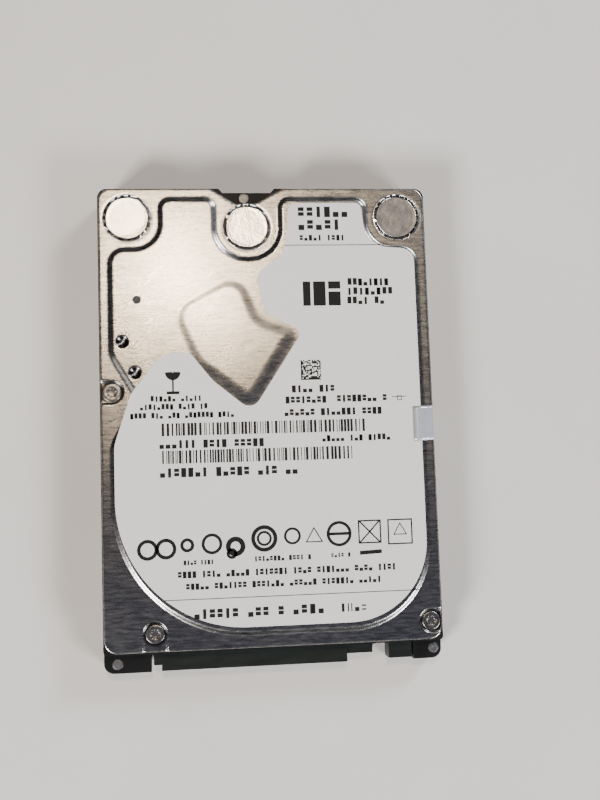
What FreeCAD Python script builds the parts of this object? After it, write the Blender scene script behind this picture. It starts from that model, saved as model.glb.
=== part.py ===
import FreeCAD, Part
import math
import operator
import os
import sys

import Sketcher
from FreeCAD import Vector

# Hard disk drive of the 2.5-inch class. Millimetres.
# Origin: middle of the bottom face. +X to the right with the label up and the connector towards the
# viewer, +Y away from the connector end, +Z up through the label.

doc = FreeCAD.newDocument("hard_disk_drive")

# Driving sizes.
SIZES = [
    ("base_width", 69.85, "overall width"),
    ("base_length", 100.2, "overall length"),
    ("corner_round", 2.0, "outer corners of the base in plan"),
    ("ledge_top", 5.0, "top of the lower half of the base and of its ears"),
    ("side_step", 0.125, "upper half of the base stands in by this much on each side"),
    ("end_wall_inset", 4.0, "upper half of the base stands back from the connector end"),
    ("rim_top", 8.0, "top of the base's rim, under the gasket"),
    ("floor_top", 3.3, "floor of the disk chamber"),
    ("board_roof", 2.3, "underside of the floor above the circuit board"),
    ("gasket_thick", 0.2, "pressed thickness of the cover gasket"),
    ("gasket_width", 0.5, "width of the gasket band"),
    ("sheet", 0.4, "thickness of the cover sheet"),
    ("raised_step", 0.55, "height of the raised area above the flange"),
    ("kite_step", 0.35, "height of the kite above the raised area"),
    ("cover_inset", 0.325, "cover edge stands in from the base at the sides"),
    ("cover_end_inset", 4.33, "cover edge stands in from the connector end"),
    ("cover_top_inset", 0.1, "cover edge stands in from the far end"),
    ("cover_round", 2.6, "outer corners of the cover"),
    ("wall_side", 2.0, "raised area stands in from the base at the sides"),
    ("wall_end", 6.7, "raised area stands in from the connector end"),
    ("wall_top", 2.0, "raised area stands in from the far end"),
    ("seat_depth", 0.35, "screw seats lie this far below the flange"),
    ("seat_radius", 2.05, "inside radius of a screw seat"),
    ("seat_wall", 0.4, "wall around a screw seat"),
    ("seal_radius", 5.15, "round foil seals"),
    ("seal_thick", 0.06, "thickness of foil and of the side seal"),
    ("seal_margin", 1.15, "room between a foil seal and the raised wall"),
    ("corner_seal_x", 6.3, "corner seals stand in from the base's sides"),
    ("corner_seal_y", 6.5, "corner seals stand in from the far end"),
    ("middle_seal_x", -3.6, "middle seal"),
    ("middle_seal_y", 8.5, "middle seal stands in from the far end"),
    ("side_screw_x", 2.6, "side screw stands in from the left side"),
    ("side_screw_y", 7.0, "side screw"),
    ("low_screw_left_x", 10.5, "lower left screw stands in from the left side"),
    ("low_screw_left_y", 7.95, "lower left screw stands in from the connector end"),
    ("low_screw_right_x", 2.6, "lower right screw stands in from the right side"),
    ("low_screw_right_y", 8.1, "lower right screw stands in from the connector end"),
    ("cover_screw_head", 1.95, "cover screw head radius"),
    ("cover_screw_radius", 0.9, "cover screw shank radius"),
    ("cover_screw_length", 3.6, "cover screw shank below the head"),
    ("screw_slack", 0.02, "radial slack of a screw in its thread"),
    ("hole_slack", 0.25, "radial slack of a screw in a plain hole"),
    ("label_thick", 0.08, "thickness of the label"),
    ("label_gap", 0.9, "label edge stands in from the raised wall"),
    ("notch_left", -10.3, "notch in the cover's far edge"),
    ("notch_right", 3.4, "notch in the cover's far edge"),
    ("notch_depth", 3.4, "notch in the cover's far edge"),
    ("breather_radius", 0.85, "breather hole"),
    ("breather_x", -26.9, "breather hole"),
    ("breather_y", 26.15, "breather hole"),
    ("disk_radius", 32.5, "platter outside radius"),
    ("disk_bore", 10.0, "platter bore radius"),
    ("disk_thick", 0.64, "platter thickness"),
    ("disk_gap", 1.6, "spacer ring thickness"),
    ("disk_low", 4.7, "underside of the lower platter"),
    ("disk_y", -9.5, "spindle axis"),
    ("chamber_slack", 0.5, "gap between platter edge and chamber wall"),
    ("fit_gap", 0.02, "radial gap of a close fit"),
    ("hub_flange", 12.3, "hub flange radius"),
    ("hub_flange_thick", 0.8, "hub flange thickness"),
    ("hub_rise", 0.22, "hub top above the upper platter"),
    ("magnet_inner", 10.2, "rotor magnet inside radius"),
    ("magnet_wall", 1.0, "rotor magnet wall"),
    ("rotor_low", 1.6, "underside of the rotor magnet and hub skirt"),
    ("shaft_radius", 1.5, "spindle shaft radius"),
    ("shaft_gap", 0.02, "running gap of the spindle shaft"),
    ("sleeve_radius", 3.2, "bearing sleeve outside radius"),
    ("tube_wall", 0.9, "wall of the base tube that holds the sleeve"),
    ("tube_top", 4.4, "top of the base tube"),
    ("air_gap", 0.25, "gap between magnet and stator teeth"),
    ("stator_radius", 15.8, "stator core outside radius"),
    ("stator_ring", 1.3, "radial width of the stator's back ring"),
    ("stator_low", 1.7, "underside of the stator core"),
    ("stator_thick", 1.1, "stator core thickness"),
    ("tooth_width", 1.9, "width of a stator tooth"),
    ("coil_wall", 0.45, "winding thickness around a tooth"),
    ("boss_bottom", 0.3, "underside of the motor boss"),
    ("boss_wall", 0.5, "thickness of the motor boss's floor"),
    ("boss_side", 1.0, "side wall of the motor boss"),
    ("clamp_radius", 11.9, "disk clamp radius"),
    ("clamp_thick", 0.25, "disk clamp thickness"),
    ("pivot_x", -11.0, "actuator axis"),
    ("pivot_y", 28.2, "actuator axis"),
    ("park_angle", -17.5, "direction of the arms at rest on the ramp"),
    ("arm_reach", 20.5, "length of the arms from the pivot"),
    ("head_reach", 33.0, "pivot to head distance"),
    ("arm_root", 4.4, "half width of an arm at the hub"),
    ("arm_tip", 2.4, "half width of an arm at its end"),
    ("block_radius", 6.2, "hub of the arm block"),
    ("beam_thick", 0.1, "suspension thickness"),
    ("slider_thick", 0.2, "head slider thickness"),
    ("fly_gap", 0.1, "gap between slider and platter"),
    ("outer_arm_low", 0.5, "thickness of the lowest arm"),
    ("outer_arm_top", 0.4, "thickness of the top arm"),
    ("pivot_sleeve_radius", 4.5, "pivot sleeve outside radius"),
    ("pivot_shaft_radius", 3.0, "pivot shaft radius"),
    ("race_radius", 3.3, "ball circle radius"),
    ("ball_radius", 0.5, "bearing ball radius"),
    ("ball_gap", 0.03, "running gap of a ball in its groove"),
    ("coil_inner", 8.6, "coil loop inside radius from the pivot"),
    ("coil_outer", 15.1, "coil loop outside radius from the pivot"),
    ("coil_half", 20.0, "half of the coil's angle, degrees"),
    ("coil_band", 2.3, "width of the winding"),
    ("coil_low", 5.5, "underside of the coil"),
    ("coil_thick", 1.2, "thickness of the coil"),
    ("frame_band", 0.8, "width of the plastic frame around the coil"),
    ("yoke_inner", 7.3, "yoke inside radius from the pivot"),
    ("yoke_outer", 16.0, "yoke outside radius from the pivot"),
    ("ribbon_thick", 0.12, "flex cable thickness"),
    ("ribbon_tall", 1.7, "flex cable width, standing on edge"),
    ("yoke_start", 92.0, "first edge of the yokes, degrees"),
    ("yoke_end", 203.0, "last edge of the yokes, degrees"),
    ("yoke_thick", 0.85, "yoke plate thickness"),
    ("yoke_top_low", 7.55, "underside of the top yoke"),
    ("magnet_start", 106.0, "first edge of the magnets, degrees"),
    ("magnet_end", 184.0, "last edge of the magnets, degrees"),
    ("low_magnet", 0.9, "lower magnet thickness"),
    ("top_magnet", 0.5, "upper magnet thickness"),
    ("swing", 35.3, "actuator travel, degrees"),
    ("stop_radius", 0.9, "crash stop radius"),
    ("stop_gap", 0.2, "gap between coil frame and crash stop"),
    ("ramp_start", -20.3, "first edge of the ramp, degrees"),
    ("ramp_end", -10.0, "last edge of the ramp, degrees"),
    ("ramp_inner", 34.0, "ramp inside radius from the pivot"),
    ("ramp_post", 36.2, "inside radius of the ramp's post"),
    ("ramp_outer", 39.6, "ramp outside radius from the pivot"),
    ("board_low", 0.3, "underside of the circuit board"),
    ("board_thick", 0.8, "circuit board thickness"),
    ("board_side", 7.5, "board edge stands in from the base's sides"),
    ("board_gap", 0.35, "gap between board and base"),
    ("board_step_y", 14.0, "far edge of the board's left part"),
    ("board_end_y", 35.5, "far edge of the board's right part"),
    ("board_step_x", -4.0, "inner edge of the board's right part"),
    ("board_screw", 0.8, "board screw shank radius"),
    ("board_post", 2.2, "posts that carry the board"),
    ("mount_x", 61.72, "bottom holes, spacing across"),
    ("mount_y", 76.6, "bottom and side holes, spacing along"),
    ("mount_centre_y", 2.2, "middle of the mounting holes along the drive"),
    ("mount_hole", 1.25, "M3 tapping drill radius"),
    ("mount_depth", 3.2, "depth of the bottom holes"),
    ("side_hole_depth", 2.6, "depth of the side holes"),
    ("side_hole_z", 3.0, "height of the side holes"),
    ("plug_left", -24.9, "interface connector, left end"),
    ("plug_right", 20.4, "interface connector, right end"),
    ("plug_flat", 15.0, "interface connector, right end of its full-depth roof"),
    ("plug_roof", 0.8, "thickness of the connector's roof"),
    ("plug_gap", 0.1, "connector stands in from the base and from the end"),
    ("tongue_low", 1.95, "underside of the connector tongues"),
    ("tongue_thick", 1.2, "thickness of the tongues"),
    ("pin_pitch", 1.27, "contact pitch"),
    ("pin_width", 0.84, "contact width"),
    ("pin_thick", 0.15, "contact thickness"),
    ("power_pins", 15, "contacts on the long tongue"),
    ("signal_pins", 7, "contacts on the short tongue"),
    ("power_first", -20.6, "first contact of the long tongue"),
    ("signal_first", 3.53, "first contact of the short tongue"),
    ("jumper_left", 23.8, "jumper header, left end"),
    ("jumper_right", 28.7, "jumper header, right end"),
    ("ear_right", 29.0, "inner edge of the right ear"),
    ("ear_left", -25.4, "inner edge of the left ear"),
]
STATOR_TEETH = 9
BEARING_BALLS = 8

sheet = doc.addObject("Spreadsheet::Sheet", "sizes")
for row, (alias, value, note) in enumerate(SIZES, 1):
    sheet.set("A%d" % row, alias)
    sheet.set("B%d" % row, str(value))
    sheet.set("C%d" % row, note)
    sheet.setAlias("B%d" % row, alias)
doc.recompute()


# Sizes that remember their formula.
class Size:
    """A number together with the sheet formula that gives it."""

    def __init__(self, value, text):
        self.value = value
        self.text = text

    def __add__(self, other):
        return joined(self, other, operator.add, "+")

    def __radd__(self, other):
        return joined(other, self, operator.add, "+")

    def __sub__(self, other):
        return joined(self, other, operator.sub, "-")

    def __rsub__(self, other):
        return joined(other, self, operator.sub, "-")

    def __mul__(self, other):
        return joined(self, other, operator.mul, "*")

    def __rmul__(self, other):
        return joined(other, self, operator.mul, "*")

    def __truediv__(self, other):
        return joined(self, other, operator.truediv, "/")

    def __neg__(self):
        return joined(-1, self, operator.mul, "*")


def as_size(amount):
    return amount if isinstance(amount, Size) else Size(float(amount), "(%r)" % float(amount))


def joined(left, right, action, sign):
    left, right = as_size(left), as_size(right)
    return Size(action(left.value, right.value), "(%s %s %s)" % (left.text, sign, right.text))


def of_function(name, function, amount):
    amount = as_size(amount)
    return Size(function(amount.value), "%s(%s)" % (name, amount.text))


def cosine(degrees):
    return of_function("cos", lambda angle: math.cos(math.radians(angle)), degrees)


def sine(degrees):
    return of_function("sin", lambda angle: math.sin(math.radians(angle)), degrees)


def arc_sine(share):
    """Angle in degrees whose sine is the share."""
    share = as_size(share)
    return Size(math.degrees(math.asin(share.value)), "(asin(%s) / 1deg)" % share.text)


class Sheet:
    """Sheet cells by name, as in cell.base_width."""

    def __getattr__(self, alias):
        return Size(float(sheet.get(alias)), "sizes." + alias)


cell = Sheet()


def bind(thing, name, amount):
    thing.setExpression(name, as_size(amount).text)


# Building blocks.
PARTS = []


def finished(thing, name):
    """Give the piece its own name and put it on the list of pieces to write."""
    thing.Label = name
    PARTS.append(thing)
    return thing


def placed(thing, x=0, y=0, z=0, turn=None):
    bind(thing, "Placement.Base.x", x)
    bind(thing, "Placement.Base.y", y)
    bind(thing, "Placement.Base.z", z)
    if turn is not None:
        thing.Placement = FreeCAD.Placement(Vector(0, 0, 0), Vector(0, 0, 1), as_size(turn).value)
        bind(thing, "Placement.Rotation.Angle", turn)
    return thing


def new_body(name):
    return doc.addObject("PartDesign::Body", name)


def sketch(body, height=0, plane="XY_Plane"):
    """Empty sketch on one of the body's own origin planes, lifted by the height."""
    flat = body.newObject("Sketcher::SketchObject", body.Name + "_sketch")
    base = [feature for feature in body.Origin.OriginFeatures if feature.Role == plane][0]
    flat.AttachmentSupport = [(base, "")]
    flat.MapMode = "FlatFace"
    bind(flat, "AttachmentOffset.Base.z", height)
    return flat


def constrain(flat, rules):
    """Add (constraint, size or None) pairs, and bind each size to the sheet."""
    numbers = flat.addConstraint([rule for rule, amount in rules])
    for number, (rule, amount) in zip(numbers, rules):
        if amount is not None:
            bind(flat, "Constraints[%d]" % number, amount)


def at_point(index, point, x, y):
    x, y = as_size(x), as_size(y)
    return [
        (Sketcher.Constraint("DistanceX", -1, 1, index, point, x.value), x),
        (Sketcher.Constraint("DistanceY", -1, 1, index, point, y.value), y),
    ]


def circle(flat, x, y, radius):
    x, y, radius = as_size(x), as_size(y), as_size(radius)
    shape = Part.Circle(Vector(x.value, y.value, 0), Vector(0, 0, 1), radius.value)
    index = flat.addGeometry(shape, False)
    rules = at_point(index, 3, x, y)
    rules.append((Sketcher.Constraint("Radius", index, radius.value), radius))
    constrain(flat, rules)


def rounding(before, corner, after, radius):
    """Tangent points and centre of an arc of the radius in the corner, and whether it turns left."""
    first = math.atan2(before[1] - corner[1], before[0] - corner[0])
    second = math.atan2(after[1] - corner[1], after[0] - corner[0])
    turn = (second - first) % (2 * math.pi)
    left = turn > math.pi
    half = (2 * math.pi - turn if left else turn) / 2
    run = radius / math.tan(half)
    reach = radius / math.sin(half)
    middle = math.atan2(math.sin(first) + math.sin(second), math.cos(first) + math.cos(second))
    start = Vector(corner[0] + run * math.cos(first), corner[1] + run * math.sin(first), 0)
    end = Vector(corner[0] + run * math.cos(second), corner[1] + run * math.sin(second), 0)
    centre = Vector(corner[0] + reach * math.cos(middle), corner[1] + reach * math.sin(middle), 0)
    return start, end, centre, left


def outline(flat, corners):
    """Closed outline through (x, y, radius) corners: lines joined by tangent arcs."""
    corners = [tuple(as_size(amount) for amount in corner) for corner in corners]
    count = len(corners)
    spots = [(x.value, y.value) for x, y, radius in corners]
    bends = []
    for k in range(count):
        after = spots[(k + 1) % count]
        bends.append(rounding(spots[k - 1], spots[k], after, corners[k][2].value))
    lines = []
    for k in range(count):
        edge = Part.LineSegment(bends[k - 1][1], bends[k][0])
        lines.append(flat.addGeometry(edge, False))
    rules = []
    for k, (x, y, radius) in enumerate(corners):
        line, following = lines[k], lines[(k + 1) % count]
        if radius.value == 0:
            rules.append((Sketcher.Constraint("Coincident", line, 2, following, 1), None))
            rules += at_point(line, 2, x, y)
            continue
        start, end, centre, left = bends[k]
        first, last = (start, end) if left else (end, start)
        first_angle = math.atan2(first.y - centre.y, first.x - centre.x)
        last_angle = math.atan2(last.y - centre.y, last.x - centre.x)
        if last_angle < first_angle:
            last_angle += 2 * math.pi
        ring = Part.Circle(centre, Vector(0, 0, 1), radius.value)
        arc = flat.addGeometry(Part.ArcOfCircle(ring, first_angle, last_angle), False)
        spot = flat.addGeometry(Part.Point(Vector(x.value, y.value, 0)), True)
        entry, leave = (1, 2) if left else (2, 1)
        rules.append((Sketcher.Constraint("Tangent", line, 2, arc, entry), None))
        rules.append((Sketcher.Constraint("Tangent", arc, leave, following, 1), None))
        rules.append((Sketcher.Constraint("PointOnObject", spot, 1, line), None))
        rules.append((Sketcher.Constraint("PointOnObject", spot, 1, following), None))
        rules += at_point(spot, 1, x, y)
        rules.append((Sketcher.Constraint("Radius", arc, radius.value), radius))
    constrain(flat, rules)


def oblong(flat, left, low, right, high, radius=0):
    """Rectangle with rounded corners."""
    outline(flat, [(left, low, radius), (right, low, radius), (right, high, radius), (left, high, radius)])


def padded(body, flat, height, downwards=False):
    feature = body.newObject("PartDesign::Pad", body.Name + "_pad")
    feature.Profile = flat
    feature.Reversed = downwards
    bind(feature, "Length", height)
    return feature


def pocketed(body, flat, depth, upwards=False):
    """Cut down from the sketch, or up from it."""
    feature = body.newObject("PartDesign::Pocket", body.Name + "_pocket")
    feature.Profile = flat
    feature.Reversed = upwards
    bind(feature, "Length", depth)
    return feature


def plate(name, low, height, draw):
    """Flat piece: draw(sketch) gives its outline, low and height its place."""
    body = new_body(name)
    flat = sketch(body, low)
    draw(flat)
    padded(body, flat, height)
    return finished(body, name)


def turned(name, profile, x, y):
    """Turned piece: closed (radius, height) profile spun about its own upright axis at x, y."""
    body = new_body(name)
    flat = sketch(body, 0, "XZ_Plane")
    outline(flat, [(radius, height, 0) for radius, height in profile])
    spin = body.newObject("PartDesign::Revolution", name + "_spin")
    spin.Profile = flat
    spin.ReferenceAxis = (flat, ["V_Axis"])
    spin.Angle = 360
    placed(body, x, y)
    return finished(body, name)


def ring(name, inner, outer, low, height, x, y):
    """Flat ring about an upright axis."""
    top = low + height
    return turned(name, [(inner, low), (outer, low), (outer, top), (inner, top)], x, y)


def rod(x, y, low, radius, height):
    thing = doc.addObject("Part::Cylinder", "rod")
    bind(thing, "Radius", radius)
    bind(thing, "Height", height)
    return placed(thing, x, y, low)


def block(left, near, low, width, depth, height, turn=None):
    thing = doc.addObject("Part::Box", "block")
    bind(thing, "Length", width)
    bind(thing, "Width", depth)
    bind(thing, "Height", height)
    return placed(thing, left, near, low, turn)


def ball(x, y, z, radius):
    thing = doc.addObject("Part::Sphere", "ball")
    bind(thing, "Radius", radius)
    return placed(thing, x, y, z)


def wedge(x, y, low, radius, height, start, sweep):
    """Pie slice about an upright axis, from one angle and over the next, in degrees."""
    thing = doc.addObject("Part::Cylinder", "slice")
    bind(thing, "Radius", radius)
    bind(thing, "Height", height)
    bind(thing, "Angle", sweep)
    return placed(thing, x, y, low, turn=start)


def cut(body, tool):
    thing = doc.addObject("Part::Cut", "cut")
    thing.Base = body
    thing.Tool = tool
    return thing


def fused(things):
    thing = doc.addObject("Part::MultiFuse", "fused")
    thing.Shapes = things
    thing.Refine = True
    return thing


def grouped(things):
    """Separate solids kept as one named piece."""
    thing = doc.addObject("Part::Compound", "group")
    thing.Links = things
    return thing


def sector(x, y, low, inner, outer, height, start, sweep):
    """Part of a ring about an upright axis."""
    slab = wedge(x, y, low, outer, height, start, sweep)
    return cut(slab, rod(x, y, low, inner, height))


def screw(x, y, seat, head_radius, head_height, shank_radius, shank_length, upwards=True):
    """Pan-head screw: the head stands on the seat, the shank goes the other way, and the socket is round."""
    socket_depth = head_height * 0.6
    socket_radius = shank_radius * 0.8
    if upwards:
        head = rod(x, y, seat, head_radius, head_height)
        shank = rod(x, y, seat - shank_length, shank_radius, shank_length)
        socket = rod(x, y, seat + head_height - socket_depth, socket_radius, socket_depth)
    else:
        head = rod(x, y, seat - head_height, head_radius, head_height)
        shank = rod(x, y, seat, shank_radius, shank_length)
        socket = rod(x, y, seat - head_height, socket_radius, socket_depth)
    return cut(fused([head, shank]), socket)


# Places worked out from the sizes.
half_width = cell.base_width / 2
half_length = cell.base_length / 2
upper_side = half_width - cell.side_step
upper_end = -half_length + cell.end_wall_inset
flange_low = cell.rim_top + cell.gasket_thick
flange_top = flange_low + cell.sheet
raised_low = flange_low + cell.raised_step
raised_top = flange_top + cell.raised_step
label_top = raised_top + cell.label_thick
seat_low = flange_low - cell.seat_depth
seat_top = flange_top - cell.seat_depth
chamber_radius = cell.disk_radius + cell.chamber_slack
board_top = cell.board_low + cell.board_thick
stator_pocket = cell.stator_radius + cell.fit_gap
boss_radius = stator_pocket + cell.boss_side
wrap = cell.seal_radius + cell.seal_margin

seal_left = -half_width + cell.corner_seal_x
seal_right = half_width - cell.corner_seal_x
seal_far = half_length - cell.corner_seal_y
middle_far = half_length - cell.middle_seal_y
hidden_screws = [(seal_left, seal_far), (cell.middle_seal_x, middle_far), (seal_right, seal_far)]

side_screw = (-half_width + cell.side_screw_x, cell.side_screw_y)
low_left_screw = (-half_width + cell.low_screw_left_x, -half_length + cell.low_screw_left_y)
low_right_screw = (half_width - cell.low_screw_right_x, -half_length + cell.low_screw_right_y)


def raised_corners(inset, lower):
    """Edge of the raised area, or of the cavity under it, moved in by the inset.

    The lower corners are given. The edge goes round the two corner seals, the middle seal and the
    side screw.
    """
    side = half_width - cell.wall_side - inset
    top = half_length - cell.wall_top - inset
    shoulder = seal_far - wrap - inset
    inner_left = seal_left + wrap + inset
    inner_right = seal_right - wrap - inset
    middle_left = cell.middle_seal_x - wrap - inset
    middle_right = cell.middle_seal_x + wrap + inset
    inside = wrap * 0.8 + inset
    outside = 2.6 - inset
    screw_x = side_screw[0] + cell.seat_radius + cell.seat_wall * 2 + 1.8 + inset * 1.15
    return lower + [
        (side, shoulder, 3.6 - inset),
        (inner_right, shoulder, inside),
        (inner_right, top, outside),
        (middle_right, top, outside),
        (middle_right, middle_far - wrap - inset, wrap * 0.98 + inset),
        (middle_left, middle_far - wrap - inset, wrap * 0.98 + inset),
        (middle_left, top, outside * 0.9),
        (inner_left, top, outside),
        (inner_left, shoulder, inside),
        (-side, shoulder, 3.6 - inset),
        (-side, side_screw[1] + 7.6, 5 - inset),
        (screw_x, side_screw[1] - 1.4, 3.0 + inset),
        (-side, side_screw[1] - 10.6, 7 - inset),
    ]


def raised_outline(inset):
    """The whole raised area: large rounded corners towards the connector end."""
    side = half_width - cell.wall_side - inset
    end = -half_length + cell.wall_end + inset
    return raised_corners(inset, [(-side, end, 27.4 - inset), (side, end, 17 - inset)])


def cavity_outline(inset):
    """The open space above the actuator: it runs into the round disk chamber."""
    side = half_width - cell.wall_side - inset
    return raised_corners(inset, [(-side, cell.disk_y, 0), (side, cell.disk_y, 0)])


def seat_shapes(body, height, radius, depth, grow):
    """Screw seats: round under the foil seals, and running out to the edge at the three open ones."""
    make = padded if grow else pocketed
    for x, y in hidden_screws:
        flat = sketch(body, height)
        circle(flat, x, y, radius)
        make(body, flat, depth)
    edge = half_width - cell.cover_inset if grow else half_width + 1
    cover_end = -half_length + cell.cover_end_inset if grow else -half_length
    nose = radius * 0.96
    x, y = side_screw
    left_run = [(-edge, y - radius, 0), (x + radius, y - radius, nose), (x + radius, y + radius, nose),
                (-edge, y + radius, 0)]
    x, y = low_left_screw
    end_run = [(x - radius, cover_end, 0), (x + radius, cover_end, 0), (x + radius, y + radius, nose),
               (x - radius, y + radius, nose)]
    x, y = low_right_screw
    right_run = [(x - radius, y - radius, nose), (edge, y - radius, 0), (edge, y + radius, 0),
                 (x - radius, y + radius, nose)]
    for run in (left_run, end_run, right_run):
        flat = sketch(body, height)
        outline(flat, run)
        make(body, flat, depth)


# Housing.
board_side = half_width - cell.board_side
board_near = upper_end - cell.plug_gap
board_posts = [(-board_side + 2.6, -half_length + 9.5), (board_side - 2.6, -half_length + 9.5),
               (-board_side + 2.6, cell.board_step_y - 3), (board_side - 2.6, cell.board_end_y - 3)]
mount_xs = [-cell.mount_x / 2, cell.mount_x / 2]
mount_ys = [cell.mount_centre_y - cell.mount_y / 2, cell.mount_centre_y + cell.mount_y / 2]
pivot_foot = 1.5
feed_left = cell.board_step_x + 8.0
feed_low = cell.board_end_y - 5.5
ramp_screw_angle = (cell.ramp_start + cell.ramp_end) / 2
ramp_screw_reach = (cell.ramp_post + cell.ramp_outer) / 2
ramp_screw_x = cell.pivot_x + ramp_screw_reach * cosine(ramp_screw_angle)
ramp_screw_y = cell.pivot_y + ramp_screw_reach * sine(ramp_screw_angle)


def board_corners(grow, near):
    """L-shaped board: the right part reaches further from the connector than the left."""
    side = board_side + grow
    return [(-side, near, 0.5), (side, near, 0.5), (side, cell.board_end_y + grow, 2),
            (cell.board_step_x - grow, cell.board_end_y + grow, 2),
            (cell.board_step_x - grow, cell.board_step_y + grow, 2),
            (-side, cell.board_step_y + grow, 2)]


def base_casting():
    body = new_body("base_casting")
    flat = sketch(body)
    oblong(flat, -half_width, -half_length, half_width, half_length, cell.corner_round)
    padded(body, flat, cell.ledge_top)
    flat = sketch(body, cell.ledge_top)
    near = 1.0
    far = cell.corner_round
    outline(flat, [(-upper_side, upper_end, near), (upper_side, upper_end, near),
                   (upper_side, half_length, far), (-upper_side, half_length, far)])
    padded(body, flat, cell.rim_top - cell.ledge_top)
    # a shallow step inside the rim, then the disk chamber and the actuator's space
    flat = sketch(body, cell.rim_top)
    outline(flat, raised_outline(0.2))
    pocketed(body, flat, 0.4)
    flat = sketch(body, cell.rim_top)
    outline(flat, cavity_outline(0.2))
    pocketed(body, flat, cell.rim_top - cell.floor_top)
    flat = sketch(body, cell.rim_top)
    circle(flat, 0, cell.disk_y, chamber_radius)
    pocketed(body, flat, cell.rim_top - cell.floor_top)
    # motor pocket with the tube that holds the bearing sleeve
    motor_floor = cell.boss_bottom + cell.boss_wall
    flat = sketch(body, cell.floor_top)
    circle(flat, 0, cell.disk_y, stator_pocket)
    pocketed(body, flat, cell.floor_top - motor_floor)
    flat = sketch(body, motor_floor)
    circle(flat, 0, cell.disk_y, cell.sleeve_radius + cell.tube_wall)
    circle(flat, 0, cell.disk_y, cell.sleeve_radius + cell.fit_gap)
    padded(body, flat, cell.tube_top - motor_floor)
    # underside: recess between the rails, room for the board, posts that carry it
    flat = sketch(body)
    rail = board_side + cell.board_gap
    oblong(flat, -rail, -half_length - 1, rail, half_length - 7, 0.5)
    pocketed(body, flat, cell.boss_bottom, upwards=True)
    flat = sketch(body)
    outline(flat, board_corners(cell.board_gap, -half_length - 1))
    circle(flat, 0, cell.disk_y, boss_radius)
    for x, y in board_posts:
        circle(flat, x, y, cell.board_post)
    pocketed(body, flat, cell.board_roof, upwards=True)
    for x, y in board_posts:
        flat = sketch(body)
        circle(flat, x, y, cell.board_post)
        pocketed(body, flat, board_top, upwards=True)
        flat = sketch(body, board_top)
        circle(flat, x, y, cell.board_screw + cell.screw_slack)
        pocketed(body, flat, cell.floor_top - board_top - 0.4, upwards=True)
    # opening for the connector between the two ears
    flat = sketch(body, cell.ledge_top)
    oblong(flat, cell.ear_left, -half_length - 1, cell.ear_right, upper_end, 0)
    pocketed(body, flat, cell.ledge_top)
    # cover screws
    seat_shapes(body, cell.rim_top, cell.seat_radius + cell.seat_wall + 0.1, cell.rim_top - seat_low, False)
    for x, y in hidden_screws + [side_screw, low_left_screw, low_right_screw]:
        flat = sketch(body, seat_low)
        circle(flat, x, y, cell.cover_screw_radius + cell.screw_slack)
        pocketed(body, flat, cell.cover_screw_length)
    # notch at the far edge
    flat = sketch(body, cell.rim_top)
    foot = half_length - cell.notch_depth
    outline(flat, [(cell.notch_left + 4, foot, 1), (cell.notch_right - 4, foot, 1),
                   (cell.notch_right, half_length + 1, 0), (cell.notch_left, half_length + 1, 0)])
    pocketed(body, flat, cell.rim_top - cell.ledge_top)
    # pivot foot, ramp screw and the slot for the head connector
    flat = sketch(body, cell.floor_top)
    circle(flat, cell.pivot_x, cell.pivot_y, pivot_foot + cell.fit_gap)
    pocketed(body, flat, 1.6)
    flat = sketch(body, cell.floor_top)
    circle(flat, ramp_screw_x, ramp_screw_y, 0.6 + cell.screw_slack)
    pocketed(body, flat, 0.7)
    flat = sketch(body, cell.floor_top)
    oblong(flat, feed_left, feed_low, feed_left + 7, feed_low + 3, 0.5)
    pocketed(body, flat, cell.floor_top - cell.board_roof)
    # M3 mounting holes in the bottom and in the sides
    flat = sketch(body)
    for x in mount_xs:
        for y in mount_ys:
            circle(flat, x, y, cell.mount_hole)
    pocketed(body, flat, cell.mount_depth, upwards=True)
    for side in (-1, 1):
        flat = sketch(body, side * half_width, "YZ_Plane")
        for y in mount_ys:
            circle(flat, y, cell.side_hole_z, cell.mount_hole)
        pocketed(body, flat, cell.side_hole_depth, upwards=side < 0)
    return finished(body, "base_casting")


def kite_corners(grow):
    """Kite above the arms, placed from the actuator's axis."""
    x, y = cell.pivot_x, cell.pivot_y
    return [(x + 5.6 + grow * 0.5, y + 2.2 + grow * 1.4, 2.0 + grow),
            (x + 9.4 + grow * 0.9, y - 6.0 + grow * 0.6, 3.6 - grow),
            (x + 17.2 + grow * 1.3, y - 9.4 + grow * 0.3, 1.6 + grow),
            (x + 7.2, y - 25.0 - grow * 1.4, 1.8 + grow),
            (x - 3.6 - grow * 0.8, y - 15.0 - grow * 0.8, 8 + grow),
            (x - 7.6 - grow * 1.2, y - 4.2, 3 + grow)]


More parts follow.
